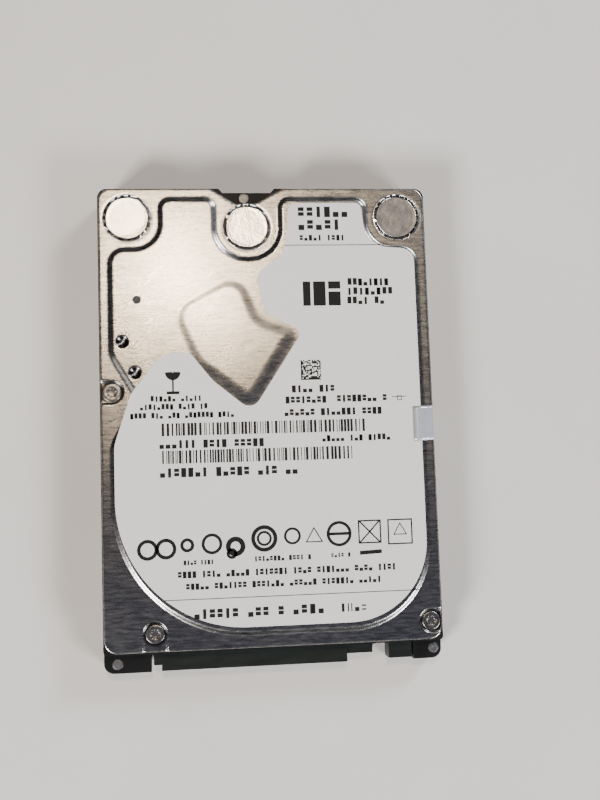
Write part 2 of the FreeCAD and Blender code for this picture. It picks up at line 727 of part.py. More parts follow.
def top_cover():
    body = new_body("top_cover")
    side = half_width - cell.cover_inset
    near = -half_length + cell.cover_end_inset
    far = half_length - cell.cover_top_inset
    foot = half_length - cell.notch_depth
    flat = sketch(body, flange_low)
    outline(flat, [(-side, near, cell.cover_round), (side, near, cell.cover_round),
                   (side, far, cell.cover_round), (cell.notch_right, far, 1),
                   (cell.notch_right - 4, foot, 1.4), (cell.notch_left + 4, foot, 1.4),
                   (cell.notch_left, far, 1), (-side, far, cell.cover_round)])
    padded(body, flat, cell.sheet)
    flat = sketch(body, flange_top)
    outline(flat, raised_outline(0))
    padded(body, flat, cell.raised_step)
    flat = sketch(body, raised_top)
    outline(flat, kite_corners(0))
    padded(body, flat, cell.kite_step)
    # hollow below the raised area and below the kite
    flat = sketch(body, flange_low)
    outline(flat, raised_outline(cell.sheet))
    pocketed(body, flat, cell.raised_step, upwards=True)
    flat = sketch(body, raised_low)
    outline(flat, kite_corners(-cell.sheet))
    pocketed(body, flat, cell.kite_step, upwards=True)
    # screw seats
    seat_shapes(body, seat_low, cell.seat_radius + cell.seat_wall, cell.seat_depth, True)
    seat_shapes(body, flange_top, cell.seat_radius, cell.seat_depth, False)
    for x, y in hidden_screws + [side_screw, low_left_screw, low_right_screw]:
        flat = sketch(body, seat_top)
        circle(flat, x, y, cell.cover_screw_radius + cell.hole_slack)
        pocketed(body, flat, cell.sheet)
    flat = sketch(body, raised_top)
    circle(flat, cell.breather_x, cell.breather_y, cell.breather_radius)
    pocketed(body, flat, cell.sheet)
    return finished(body, "top_cover")


def cover_gasket():
    body = new_body("cover_gasket")
    middle = -0.25
    half_band = cell.gasket_width / 2
    ring_middle = chamber_radius + 0.4
    flat = sketch(body, cell.rim_top)
    outline(flat, raised_outline(middle - half_band))
    padded(body, flat, cell.gasket_thick)
    flat = sketch(body, cell.rim_top)
    circle(flat, 0, cell.disk_y, ring_middle + half_band)
    padded(body, flat, cell.gasket_thick)
    flat = sketch(body, flange_low)
    circle(flat, 0, cell.disk_y, ring_middle - half_band)
    pocketed(body, flat, cell.gasket_thick)
    flat = sketch(body, flange_low)
    outline(flat, raised_outline(middle + half_band))
    pocketed(body, flat, cell.gasket_thick)
    return finished(body, "cover_gasket")


def cover_screws():
    head_height = cell.seat_depth - cell.screw_slack
    places = hidden_screws + [side_screw, low_left_screw, low_right_screw]
    length = cell.cover_screw_length + cell.sheet - 0.2
    screws = [screw(x, y, seat_top, cell.cover_screw_head, head_height, cell.cover_screw_radius, length)
              for x, y in places]
    return finished(grouped(screws), "cover_screws")


def foil_seals():
    discs = [rod(x, y, flange_top, cell.seal_radius, cell.seal_thick) for x, y in hidden_screws]
    return finished(grouped(discs), "foil_seals")


def side_seal():
    """Strip from the raised area, down over the flange and the base's side."""
    near, width = -4.7, 7.3
    thick = cell.seal_thick
    wall = half_width - cell.wall_side
    inner = wall - 2.7
    tops = block(inner, near, label_top, wall + thick - inner, width, thick)
    step = block(wall, near, flange_top, thick, width, label_top - flange_top)
    flange = block(wall, near, flange_top, upper_side + thick - wall, width, thick)
    drop = block(upper_side, near, cell.ledge_top + 0.6, thick, width, flange_top - cell.ledge_top - 0.6)
    return finished(fused([tops, step, flange, drop]), "side_seal")


def label_corners():
    """Label: fills the raised area except round the kite and the bare corner above the actuator."""
    gap = cell.label_gap
    side = half_width - cell.wall_side - gap
    near = -half_length + cell.wall_end + gap + 1.0
    top = half_length - cell.wall_top - gap - 0.8
    shoulder = seal_far - wrap - gap
    right = seal_right - wrap - gap
    left = cell.middle_seal_x + wrap + gap + 0.4
    x, y = cell.pivot_x, cell.pivot_y
    return [(-side, near, 26.4), (side, near, 16.4), (side, shoulder, 3.0),
            (right, shoulder, wrap * 0.8 + gap), (right, top, 1.6), (left, top, 1.6),
            (left, middle_far - wrap + 0.6, 3.0), (x + 9.7, y + 3.0, 3.0), (x + 10.2, y - 4.6, 4.0),
            (x + 18.4, y - 9.2, 1.6), (x + 7.8, y - 25.8, 2.4), (x - 0.4, y - 19.4, 4.0),
            (x - 5.6, y - 12.6, 2.6), (x - 11.4, y - 13.8, 3.6), (x - 17.4, y - 21.6, 4.0),
            (-side, side_screw[1] - 11, 8.0)]


def top_label():
    return plate("top_label", raised_top, cell.label_thick, lambda flat: outline(flat, label_corners()))


def breather_filter():
    disc = rod(cell.breather_x, cell.breather_y, raised_low - 0.3, 2.4, 0.3)
    return finished(disc, "breather_filter")


def recirculation_filter():
    left = half_width - cell.wall_side - 3.4
    return finished(block(left, 17, cell.floor_top, 2.0, 8, 4.2), "recirculation_filter")


def desiccant():
    body = new_body("desiccant")
    flat = sketch(body, cell.floor_top)
    oblong(flat, 12.5, cell.board_end_y - 6.5, 20, cell.board_end_y, 1)
    padded(body, flat, 3.6)
    return finished(body, "desiccant")


# Spindle.
low_disk_top = cell.disk_low + cell.disk_thick
high_disk_low = low_disk_top + cell.disk_gap
high_disk_top = high_disk_low + cell.disk_thick
hub_top = high_disk_top + cell.hub_rise
hub_radius = cell.disk_bore - cell.fit_gap
hub_flange_low = cell.disk_low - cell.hub_flange_thick
magnet_outer = cell.magnet_inner + cell.magnet_wall
skirt_inner = cell.magnet_inner - 0.8
motor_floor_z = cell.boss_bottom + cell.boss_wall
plate_thick = 0.2
sleeve_low = motor_floor_z + plate_thick + 0.05
sleeve_top = cell.disk_low + 1.7
cavity_top = sleeve_top + 0.25


def spindle_ring(name, inner, outer, low, height):
    return ring(name, inner, outer, low, height, 0, cell.disk_y)


def spindle_hub():
    """Flanged hub: its skirt carries the magnet, and its hollow clears the sleeve and the base tube."""
    web_gap, tube_gap = 0.3, 0.4
    shaft = cell.shaft_radius + cell.fit_gap
    socket = cell.sleeve_radius + web_gap
    tube = cell.sleeve_radius + cell.tube_wall + tube_gap
    skirt_outer = cell.magnet_inner - cell.fit_gap
    web_low = cell.tube_top + web_gap
    profile = [(shaft, cavity_top), (socket, cavity_top), (socket, web_low),
               (tube, web_low), (tube, hub_flange_low), (skirt_inner, hub_flange_low),
               (skirt_inner, cell.rotor_low), (skirt_outer, cell.rotor_low), (skirt_outer, hub_flange_low),
               (cell.hub_flange, hub_flange_low), (cell.hub_flange, cell.disk_low),
               (hub_radius, cell.disk_low), (hub_radius, hub_top), (shaft, hub_top)]
    return turned("spindle_hub", profile, 0, cell.disk_y)


def spindle_shaft():
    low = motor_floor_z + plate_thick + 0.03
    return finished(rod(0, cell.disk_y, low, cell.shaft_radius, hub_top - low), "spindle_shaft")


def stator_core():
    """Back ring with inward teeth around the rotor magnet."""
    inner = cell.stator_radius - cell.stator_ring
    tip = magnet_outer + cell.air_gap
    back = cut(rod(0, cell.disk_y, cell.stator_low, cell.stator_radius, cell.stator_thick),
               rod(0, cell.disk_y, cell.stator_low, inner, cell.stator_thick))
    teeth = []
    for k in range(STATOR_TEETH):
        angle = 360 / STATOR_TEETH * k
        tooth = block(tip * cosine(angle) + cell.tooth_width / 2 * sine(angle),
                      cell.disk_y + tip * sine(angle) - cell.tooth_width / 2 * cosine(angle),
                      cell.stator_low, inner + 0.3 - tip, cell.tooth_width, cell.stator_thick, turn=angle)
        teeth.append(tooth)
    return finished(fused([back] + teeth), "stator_core")


def stator_coils():
    """A winding around each tooth."""
    inner = magnet_outer + cell.air_gap + 0.7
    outer = cell.stator_radius - cell.stator_ring - 0.15
    wide = cell.tooth_width + 2 * cell.coil_wall
    tall = cell.stator_thick + 2 * cell.coil_wall
    low = cell.stator_low - cell.coil_wall
    coils = []
    for k in range(STATOR_TEETH):
        angle = 360 / STATOR_TEETH * k
        x = inner * cosine(angle) + wide / 2 * sine(angle)
        y = cell.disk_y + inner * sine(angle) - wide / 2 * cosine(angle)
        slot_wide = cell.tooth_width + 2 * cell.fit_gap
        slot_x = inner * cosine(angle) + slot_wide / 2 * sine(angle)
        slot_y = cell.disk_y + inner * sine(angle) - slot_wide / 2 * cosine(angle)
        winding = block(x, y, low, outer - inner, wide, tall, turn=angle)
        slot = block(slot_x, slot_y, cell.stator_low - cell.fit_gap, outer - inner, slot_wide,
                     cell.stator_thick + 2 * cell.fit_gap, turn=angle)
        coils.append(cut(winding, slot))
    return finished(grouped(coils), "stator_coils")


def disk_clamp():
    """Shallow cap: screwed to the shaft in the middle, pressing on the upper platter at its edge."""
    thick = cell.clamp_thick
    foot = cell.disk_bore + 0.35
    profile = [(1.0 + cell.hole_slack, hub_top), (cell.disk_bore, hub_top), (foot, high_disk_top),
               (cell.clamp_radius, high_disk_top), (cell.clamp_radius, high_disk_top + thick),
               (foot + 0.3, hub_top + thick), (1.0 + cell.hole_slack, hub_top + thick)]
    return turned("disk_clamp", profile, 0, cell.disk_y)


def clamp_screw():
    seat = hub_top + cell.clamp_thick
    head = rod(0, cell.disk_y, seat, 2.1, 0.25)
    shank = rod(0, cell.disk_y, hub_top, 1.0, cell.clamp_thick)
    socket = rod(0, cell.disk_y, seat + 0.1, 0.8, 0.15)
    return finished(cut(fused([head, shank]), socket), "clamp_screw")


# Actuator.
coil_top = cell.coil_low + cell.coil_thick
block_low = cell.disk_low - cell.fly_gap - cell.slider_thick - cell.beam_thick - cell.outer_arm_low
top_arm_low = high_disk_top + cell.fly_gap + cell.slider_thick + cell.beam_thick
block_top = top_arm_low + cell.outer_arm_top
mid_arm_low = low_disk_top + cell.fly_gap + cell.slider_thick + cell.beam_thick
mid_arm_top = high_disk_low - cell.fly_gap - cell.slider_thick - cell.beam_thick
coil_middle = cell.park_angle + 180
frame_half = cell.coil_half + 3.0
frame_outer = cell.coil_outer + cell.frame_band

# (underside of the load beam, whether the slider stands on it or hangs below it)
beams = [(block_low + cell.outer_arm_low, True), (mid_arm_low - cell.beam_thick, False),
         (mid_arm_top, True), (top_arm_low - cell.beam_thick, False)]


def along_arm(reach, across):
    """Point at the reach along the resting arm and at a distance across it."""
    x = cell.pivot_x + reach * cosine(cell.park_angle) - across * sine(cell.park_angle)
    y = cell.pivot_y + reach * sine(cell.park_angle) + across * cosine(cell.park_angle)
    return x, y


def arm_plate(low, height, stages, round_end):
    """Flat bar along the arm: stages are (reach, half width)."""
    body = new_body("bar")
    flat = sketch(body, low)
    corners = [along_arm(reach, -half) + (0,) for reach, half in stages[:-1]]
    reach, half = stages[-1]
    corners += [along_arm(reach, -half) + (round_end,), along_arm(reach, half) + (round_end,)]
    corners += [along_arm(reach, half) + (0,) for reach, half in reversed(stages[:-1])]
    outline(flat, corners)
    padded(body, flat, height)
    return body


def actuator_arm_block():
    """Hub around the pivot sleeve with three arms and the two tines that hold the coil's frame."""
    x, y = cell.pivot_x, cell.pivot_y
    hub = rod(x, y, block_low, cell.block_radius, block_top - block_low)
    levels = [(block_low, cell.outer_arm_low), (mid_arm_low, mid_arm_top - mid_arm_low),
              (top_arm_low, cell.outer_arm_top)]
    start = cell.block_radius * 0.5
    arms = [arm_plate(low, height, [(start, cell.arm_root), (cell.arm_reach, cell.arm_tip)], 1.6)
            for low, height in levels]
    bore = rod(x, y, block_low, cell.pivot_sleeve_radius + cell.fit_gap, block_top - block_low)
    return finished(cut(fused([hub] + arms), bore), "actuator_arm_block")


def voice_coil():
    """Flat wound loop: a thick band along the edge of a ring sector."""
    x, y = cell.pivot_x, cell.pivot_y
    low, tall = cell.coil_low, cell.coil_thick
    band = cell.coil_band
    outer = sector(x, y, low, cell.coil_inner, cell.coil_outer, tall,
                   coil_middle - cell.coil_half, 2 * cell.coil_half)
    window_half = cell.coil_half - 9.5
    window = sector(x, y, low, cell.coil_inner + band * 0.8, cell.coil_outer - band * 0.8, tall,
                    coil_middle - window_half, 2 * window_half)
    return finished(cut(outer, window), "voice_coil")


def coil_frame():
    """Moulded frame that grips the coil's edge and meets the hub."""
    x, y = cell.pivot_x, cell.pivot_y
    low, tall = cell.coil_low, cell.coil_thick
    outer = sector(x, y, low, cell.block_radius + cell.fit_gap, frame_outer, tall,
                   coil_middle - frame_half, 2 * frame_half)
    gap = cell.fit_gap
    hole_half = cell.coil_half + 0.1
    hole = sector(x, y, low, cell.coil_inner - gap, cell.coil_outer + gap, tall,
                  coil_middle - hole_half, 2 * hole_half)
    return finished(cut(outer, hole), "coil_frame")


def suspensions():
    """Four load beams with the lift tabs that rest on the ramp."""
    tab = cell.head_reach + 2.6
    stages = [(cell.arm_reach - 3.4, 2.0), (cell.arm_reach - 0.4, 2.0), (cell.head_reach - 1.2, 0.75),
              (cell.head_reach + 0.7, 0.75), (cell.head_reach + 0.8, 0.28), (tab, 0.28)]
    return finished(grouped([arm_plate(low, cell.beam_thick, stages, 0.2) for low, above in beams]),
                    "suspensions")


def head_sliders():
    length, width = 1.2, 1.0
    sliders = []
    for low, above in beams:
        z = low + cell.beam_thick if above else low - cell.slider_thick
        x, y = along_arm(cell.head_reach - length / 2, -width / 2)
        sliders.append(block(x, y, z, length, width, cell.slider_thick, turn=cell.park_angle))
    return finished(grouped(sliders), "head_sliders")


def preamp_chip():
    """Head preamplifier on the arm block's side, where the flex cable starts."""
    x, y = along_arm(4.9, cell.arm_root - 0.13)
    return finished(block(x, y, cell.coil_low - 0.4, 2.6, 0.6, 2.0, turn=cell.park_angle), "preamp_chip")


def pivot_sleeve():
    """Outer sleeve of the pivot bearing with two ball grooves."""
    low = block_low + 0.1
    tall = block_top - block_low - 0.2
    tube = cut(rod(cell.pivot_x, cell.pivot_y, low, cell.pivot_sleeve_radius, tall),
               rod(cell.pivot_x, cell.pivot_y, low, race_inner, tall))
    return finished(with_grooves(tube), "pivot_sleeve")


def pivot_shaft():
    """Fixed post: its foot is set in the base, and the balls run in its two grooves."""
    x, y = cell.pivot_x, cell.pivot_y
    foot = rod(x, y, cell.floor_top - 1.5, pivot_foot, 1.5)
    collar = rod(x, y, cell.floor_top, cell.pivot_shaft_radius + 0.6, block_low - cell.floor_top - 0.15)
    post = rod(x, y, cell.floor_top, cell.pivot_shaft_radius, block_top - cell.floor_top)
    socket = rod(x, y, block_top - 1.2, 0.9, 1.2)
    return finished(cut(with_grooves(fused([foot, collar, post])), socket), "pivot_shaft")


race_inner = 2 * cell.race_radius - cell.pivot_shaft_radius
race_zs = [block_low + 1.1, block_top - 1.1]


def with_grooves(thing):
    rings = []
    for z in race_zs:
        groove = doc.addObject("Part::Torus", "groove")
        bind(groove, "Radius1", cell.race_radius)
        bind(groove, "Radius2", cell.ball_radius + cell.ball_gap)
        rings.append(placed(groove, cell.pivot_x, cell.pivot_y, z))
    for groove in rings:
        thing = cut(thing, groove)
    return thing


def pivot_balls():
    balls = []
    for z in race_zs:
        for k in range(BEARING_BALLS):
            angle = 360 / BEARING_BALLS * k
            balls.append(ball(cell.pivot_x + cell.race_radius * cosine(angle),
                              cell.pivot_y + cell.race_radius * sine(angle), z, cell.ball_radius))
    return finished(grouped(balls), "pivot_balls")


# Voice coil motor.
yoke_sweep = cell.yoke_end - cell.yoke_start
yoke_low_top = cell.floor_top + cell.yoke_thick
post_places = [(10.0, cell.yoke_start + 4.5), (8.6, cell.yoke_end - 5), (14.6, cell.yoke_end - 7)]
stop_reach = (14.5, 11.6)
late_edge = coil_middle - cell.swing - frame_half
park_edge = coil_middle + frame_half


def around_pivot(reach, angle):
    return cell.pivot_x + reach * cosine(angle), cell.pivot_y + reach * sine(angle)


def yoke(name, low):
    slab = sector(cell.pivot_x, cell.pivot_y, low, cell.yoke_inner, cell.yoke_outer, cell.yoke_thick,
                  cell.yoke_start, yoke_sweep)
    for reach, angle in post_places:
        x, y = around_pivot(reach, angle)
        slab = cut(slab, rod(x, y, low, 0.6 + cell.fit_gap, cell.yoke_thick))
    return finished(slab, name)


def magnet(name, low, tall):
    slab = sector(cell.pivot_x, cell.pivot_y, low, cell.coil_inner + 0.3, cell.coil_outer - 0.3, tall,
                  cell.magnet_start, cell.magnet_end - cell.magnet_start)
    return finished(slab, name)


def yoke_posts():
    posts = []
    for reach, angle in post_places:
        x, y = around_pivot(reach, angle)
        pin = rod(x, y, cell.floor_top, 0.6, cell.yoke_top_low + cell.yoke_thick - cell.floor_top)
        collar = rod(x, y, yoke_low_top, 1.0, cell.yoke_top_low - yoke_low_top)
        posts.append(fused([pin, collar]))
    return finished(grouped(posts), "yoke_posts")


def crash_stops():
    """Rubber posts that end the coil frame's travel at both ends."""
    late_turn = arc_sine((cell.stop_radius + cell.stop_gap) / stop_reach[0])
    park_turn = arc_sine((cell.stop_radius + cell.stop_gap) / stop_reach[1])
    places = [around_pivot(stop_reach[0], late_edge - late_turn),
              around_pivot(stop_reach[1], park_edge + park_turn)]
    tall = cell.yoke_top_low - yoke_low_top
    return finished(grouped([rod(x, y, yoke_low_top, cell.stop_radius, tall) for x, y in places]),
                    "crash_stops")


latch_x = cell.pivot_x - cell.yoke_outer - 2.0
latch_y = cell.pivot_y - 5.2
latch_bore = 0.65


def latch_lever():
    """Inertia latch: a two-armed lever whose hook stands beside the parked coil frame."""
    body = new_body("lever")
    flat = sketch(body, cell.coil_low + 0.1)
    x, y = latch_x, latch_y
    tip = cell.pivot_x - frame_outer - 0.7
    outline(flat, [(x - 1.3, y - 1.2, 0.8), (x + 3.2, y - 2.6, 0.7), (x + 3.4, y - 0.9, 0.7),
                   (x + 1.1, y + 0.9, 0.8), (tip, y + 5.4, 0.3), (tip - 1.0, y + 5.4, 0.3)])
    circle(flat, x, y, latch_bore)
    padded(body, flat, cell.coil_thick - 0.2)
    return finished(body, "latch_lever")


def latch_pin():
    """Pin with a collar below the lever and a small head above it."""
    low = cell.floor_top
    stem = rod(latch_x, latch_y, low, latch_bore - 0.05, coil_top + 0.5 - low)
    collar = rod(latch_x, latch_y, low, 1.2, cell.coil_low - low)
    head = rod(latch_x, latch_y, coil_top + 0.05, 1.0, 0.45)
    return finished(fused([stem, collar, head]), "latch_pin")


# Ramp and flex cable.
def load_ramp():
    """Post with two shelves that carry the lift tabs when the heads are parked."""
    x, y = cell.pivot_x, cell.pivot_y
    sweep = cell.ramp_end - cell.ramp_start
    gap = cell.fly_gap
    shelves = []
    for low, high in ((beams[0][0], beams[1][0]), (beams[2][0], beams[3][0])):
        bottom = low + cell.beam_thick + gap
        shelves.append(sector(x, y, bottom, cell.ramp_inner, cell.ramp_outer, high - gap - bottom,
                              cell.ramp_start, sweep))
    top = beams[3][0] - gap
    post = sector(x, y, cell.floor_top, cell.ramp_post, cell.ramp_outer, top - cell.floor_top,
                  cell.ramp_start, sweep)
    hole = rod(ramp_screw_x, ramp_screw_y, cell.floor_top, 0.6 + cell.hole_slack, top - cell.floor_top)
    return finished(cut(fused(shelves + [post]), hole), "load_ramp")


def ramp_screw():
    top = beams[3][0] - cell.fly_gap
    head = rod(ramp_screw_x, ramp_screw_y, top, 1.2, 0.4)
    low = cell.floor_top - 0.65
    shank = rod(ramp_screw_x, ramp_screw_y, low, 0.6, top - low)
    return finished(fused([head, shank]), "ramp_screw")


def flex_bracket():
    """Plate over the slot in the floor, with an upright tab that clamps the flex cable."""
    base = block(feed_left - 1.2, feed_low - 0.8, cell.floor_top, 9.4, 4.6, 0.6)
    tab = block(feed_left - 1.2, feed_low + 0.6, cell.floor_top, 0.6, 2.6, 3.6)
    return finished(fused([base, tab]), "flex_bracket")


def flex_cable():
    """Thin ribbon on edge: an arch from the preamplifier over to the bracket's tab."""
    half = cell.ribbon_thick / 2
    start_x, start_y = along_arm(6.4, cell.arm_root + 0.75)
    loop_y = middle_far - wrap - 1.2
    end_x = feed_left - 1.2 - 0.02 - half
    end_y = feed_low + 0.7
    bend = 1.6
    body = new_body("ribbon")
    flat = sketch(body, cell.coil_low - 0.3)
    outline(flat, [(start_x - half, start_y, 0), (start_x - half, loop_y + half, bend + half),
                   (end_x + half, loop_y + half, bend + half), (end_x + half, end_y, 0),
                   (end_x - half, end_y, 0), (end_x - half, loop_y - half, bend - half),
                   (start_x + half, loop_y - half, bend - half), (start_x + half, start_y, 0)])
    padded(body, flat, cell.ribbon_tall)
    return finished(body, "flex_cable")


# Circuit board and connectors.
def circuit_board():
    body = new_body("circuit_board")
    flat = sketch(body, cell.board_low)
    outline(flat, board_corners(0, board_near))
    circle(flat, 0, cell.disk_y, boss_radius + cell.board_gap)
    for x, y in board_posts:
        circle(flat, x, y, cell.board_screw + cell.hole_slack)
    padded(body, flat, cell.board_thick)
    return finished(body, "circuit_board")


def board_screws():
    screws = [screw(x, y, cell.board_low, 1.8, cell.board_low - 0.05, cell.board_screw, 2.2, upwards=False)
              for x, y in board_posts]
    return finished(grouped(screws), "board_screws")


def board_insulator():
    """Foam sheet between the tall chips and the base."""
    return plate("board_insulator", cell.board_roof - 0.2, 0.2,
                 lambda flat: oblong(flat, -19, cell.disk_y - 33, 19, cell.disk_y - 19, 1.5))


def chip(name, x, y, width, depth, height):
    return finished(block(x - width / 2, y - depth / 2, board_top, width, depth, height), name)


def small_components():
    """Resistors and capacitors in rows on the inner face of the board."""
    parts = []
    for column in range(9):
        for row in range(2):
            parts.append(block(-board_side + 6 + column * 1.9, cell.board_step_y - 4 + row * 1.6, board_top,
                               1.0, 0.5, 0.4))
    for column in range(8):
        parts.append(block(board_side - 6.5, cell.disk_y - 8 + column * 1.7, board_top, 1.6, 0.8, 0.7))
    return finished(grouped(parts), "small_components")


def head_connector():
    """Block on the board below the slot in the floor."""
    low = board_top
    body = block(feed_left + 0.3, feed_low + 0.3, low, 6.4, 2.4, cell.floor_top - low)
    return finished(body, "head_connector")


def motor_connector():
    x = boss_radius + 1.4
    return finished(block(x, cell.disk_y - 3, board_top, 2.6, 6, cell.board_roof - board_top - 0.05),
                    "motor_connector")


plug_back = upper_end - cell.plug_gap * 2
plug_front = -half_length + cell.plug_gap
tongue_front = plug_front + 0.25
bar_depth = 1.1
power_left = cell.power_first - cell.pin_pitch
power_right = cell.power_first + cell.pin_pitch * cell.power_pins + 0.6
signal_left = cell.signal_first - cell.pin_pitch
signal_right = cell.signal_first + cell.pin_pitch * cell.signal_pins + 0.9


def sata_housing():
    """Moulded plug: back bar, roof, two tongues with a key at the end of each, and end posts."""
    low = cell.board_low
    top = cell.ledge_top - 0.05
    depth = plug_back - plug_front
    roof = cell.plug_roof
    bar_near = plug_back - bar_depth
    tall = cell.tongue_low + cell.tongue_thick
    pieces = [
        block(cell.plug_left, bar_near, low, cell.plug_right - cell.plug_left, bar_depth, top - low),
        block(cell.plug_left + 1.6, plug_front, top - roof, cell.plug_flat - cell.plug_left - 1.6,
              depth - bar_depth + 0.2, roof),
        block(cell.plug_flat, plug_front + 1.6, top - roof * 1.6, cell.plug_right - cell.plug_flat,
              depth - bar_depth - 1.4, roof),
        block(power_left, tongue_front, cell.tongue_low, power_right - power_left,
              bar_near + 0.2 - tongue_front, cell.tongue_thick),
        block(signal_left, tongue_front, cell.tongue_low, signal_right - signal_left,
              bar_near + 0.2 - tongue_front, cell.tongue_thick),
        block(power_left, tongue_front, low + 0.5, 1.0, bar_near + 0.2 - tongue_front, tall - low - 0.5),
        block(signal_right - 1.0, tongue_front, low + 0.5, 1.0, bar_near + 0.2 - tongue_front,
              tall - low - 0.5),
        block(cell.plug_left, plug_front + 1.2, low, 1.7, depth - bar_depth - 1.0, top - low),
        block(cell.plug_right - 1.4, plug_front + 1.6, low, 1.4, depth - bar_depth - 1.4,
              top - low - roof),
    ]
    return finished(fused(pieces), "sata_housing")


def sata_contacts():
    """Flat contacts under the tongues and their tails on the board."""
    contacts = []
    rows = [(cell.power_first, cell.power_pins), (cell.signal_first, cell.signal_pins)]
    length = plug_back - bar_depth - tongue_front - 0.3
    for first, count in rows:
        for k in range(int(count.value)):
            x = first + cell.pin_pitch * k + 0.2
            contacts.append(block(x, tongue_front + 0.3, cell.tongue_low - cell.pin_thick, cell.pin_width,
                                  length, cell.pin_thick))
            contacts.append(block(x, plug_back, board_top, cell.pin_width * 0.6, 1.6, cell.pin_thick))
    return finished(grouped(contacts), "sata_contacts")


def jumper_header():
    """Block with an open slot facing the connector end."""
    low = cell.board_low
    top = cell.ledge_top - 0.1
    depth = plug_back - plug_front - 0.3
    width = cell.jumper_right - cell.jumper_left
    slot = block(cell.jumper_left + 0.5, plug_front, low + 0.6, width - 1.0, depth - 1.1, top - low - 1.2)
    return finished(cut(block(cell.jumper_left, plug_front + 0.3, low, width, depth, top - low), slot),
                    "jumper_header")


def jumper_pins():
    """Two rows of two square pins."""
    side = 0.5
    middle = (cell.jumper_left + cell.jumper_right) / 2
    depth = plug_back - plug_front - 0.3
    back = plug_front + depth - 0.8
    pins = []
    for dx in (-1.0, 1.0):
        for dz in (-0.75, 0.75):
            pins.append(block(middle + dx - side / 2, plug_front + 0.5, cell.board_low + 2.35 + dz - side / 2,
                              side, back - plug_front - 0.5 - 0.3, side))
    return finished(grouped(pins), "jumper_pins")


# Assembly.
base_casting()
top_cover()
cover_gasket()
cover_screws()
foil_seals()
side_seal()
top_label()
breather_filter()
recirculation_filter()
desiccant()
spindle_ring("lower_platter", cell.disk_bore, cell.disk_radius, cell.disk_low, cell.disk_thick)
spindle_ring("disk_spacer", cell.disk_bore, cell.hub_flange, low_disk_top, cell.disk_gap)
spindle_ring("upper_platter", cell.disk_bore, cell.disk_radius, high_disk_low, cell.disk_thick)
spindle_hub()
spindle_shaft()
spindle_ring("bearing_sleeve", cell.shaft_radius + cell.shaft_gap, cell.sleeve_radius, sleeve_low,
             sleeve_top - sleeve_low)
finished(rod(0, cell.disk_y, motor_floor_z, cell.sleeve_radius, plate_thick), "thrust_plate")
spindle_ring("rotor_magnet", cell.magnet_inner, magnet_outer, cell.rotor_low,
             hub_flange_low - cell.rotor_low)
stator_core()
stator_coils()
spindle_ring("stator_shield", cell.hub_flange + 0.5, cell.stator_radius, cell.floor_top - 0.02, 0.12)
disk_clamp()
clamp_screw()
actuator_arm_block()
voice_coil()
coil_frame()
suspensions()
head_sliders()
preamp_chip()
pivot_sleeve()
pivot_shaft()
pivot_balls()
yoke("yoke_bottom", cell.floor_top)
yoke("yoke_top", cell.yoke_top_low)
magnet("magnet_bottom", yoke_low_top, cell.low_magnet)
magnet("magnet_top", cell.yoke_top_low - cell.top_magnet, cell.top_magnet)
yoke_posts()
crash_stops()
latch_lever()
latch_pin()
load_ramp()
ramp_screw()
flex_bracket()
flex_cable()
circuit_board()
board_screws()
board_insulator()
chip("controller_chip", -9, cell.disk_y - 27, 10, 10, 0.8)
chip("memory_chip", 8, cell.disk_y - 27, 8, 10, 0.8)
chip("motor_driver_chip", board_side - 5.2, cell.disk_y + 16, 7, 7, 0.8)
chip("flash_chip", board_side - 4.5, cell.disk_y - 16.5, 5, 4, 0.8)
small_components()
head_connector()
motor_connector()
sata_housing()
sata_contacts()
jumper_header()
jumper_pins()

doc.recompute()

faults = []
for thing in doc.Objects:
    if "Invalid" in thing.State or "Error" in thing.State:
        faults.append("%s: %s" % (thing.Label, thing.State))
    if thing.TypeId == "PartDesign::Pocket":
        before = thing.BaseFeature.Shape.Volume
        if thing.Shape.Volume > before - 1e-6:
            faults.append("%s cuts nothing" % thing.Label)
for thing in PARTS:
    if thing.Shape.isNull() or not thing.Shape.isValid():
        faults.append("%s has no valid shape" % thing.Label)
if faults:
    print("\n".join(faults))
    sys.exit(1)

os.makedirs("parts", exist_ok=True)
for thing in PARTS:
    thing.Shape.exportStep("parts/%s.step" % thing.Label)
print("%d pieces written" % len(PARTS))
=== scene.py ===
import math
import bmesh
import bpy
import numpy as np
from mathutils import Matrix, Vector
from mathutils.geometry import delaunay_2d_cdt


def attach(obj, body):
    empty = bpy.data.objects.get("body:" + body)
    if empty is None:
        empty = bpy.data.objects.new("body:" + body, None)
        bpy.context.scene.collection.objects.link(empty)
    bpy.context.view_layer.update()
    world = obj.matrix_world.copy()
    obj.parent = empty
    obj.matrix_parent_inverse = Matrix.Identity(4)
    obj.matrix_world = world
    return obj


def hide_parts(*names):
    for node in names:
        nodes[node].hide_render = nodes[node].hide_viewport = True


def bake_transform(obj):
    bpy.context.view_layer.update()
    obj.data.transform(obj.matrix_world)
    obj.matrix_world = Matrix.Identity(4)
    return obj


# A slim hard disk drive seen from above. Lengths in the dictionaries are in millimetres.
# Every new piece is worked out in millimetres and brought to metres when its mesh is made.

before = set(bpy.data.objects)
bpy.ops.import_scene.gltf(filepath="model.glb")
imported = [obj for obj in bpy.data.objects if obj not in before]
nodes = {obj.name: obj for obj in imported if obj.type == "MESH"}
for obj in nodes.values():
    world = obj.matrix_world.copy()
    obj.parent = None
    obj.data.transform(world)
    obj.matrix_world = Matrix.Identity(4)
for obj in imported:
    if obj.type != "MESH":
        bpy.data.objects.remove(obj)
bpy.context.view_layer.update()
mm = 0.001


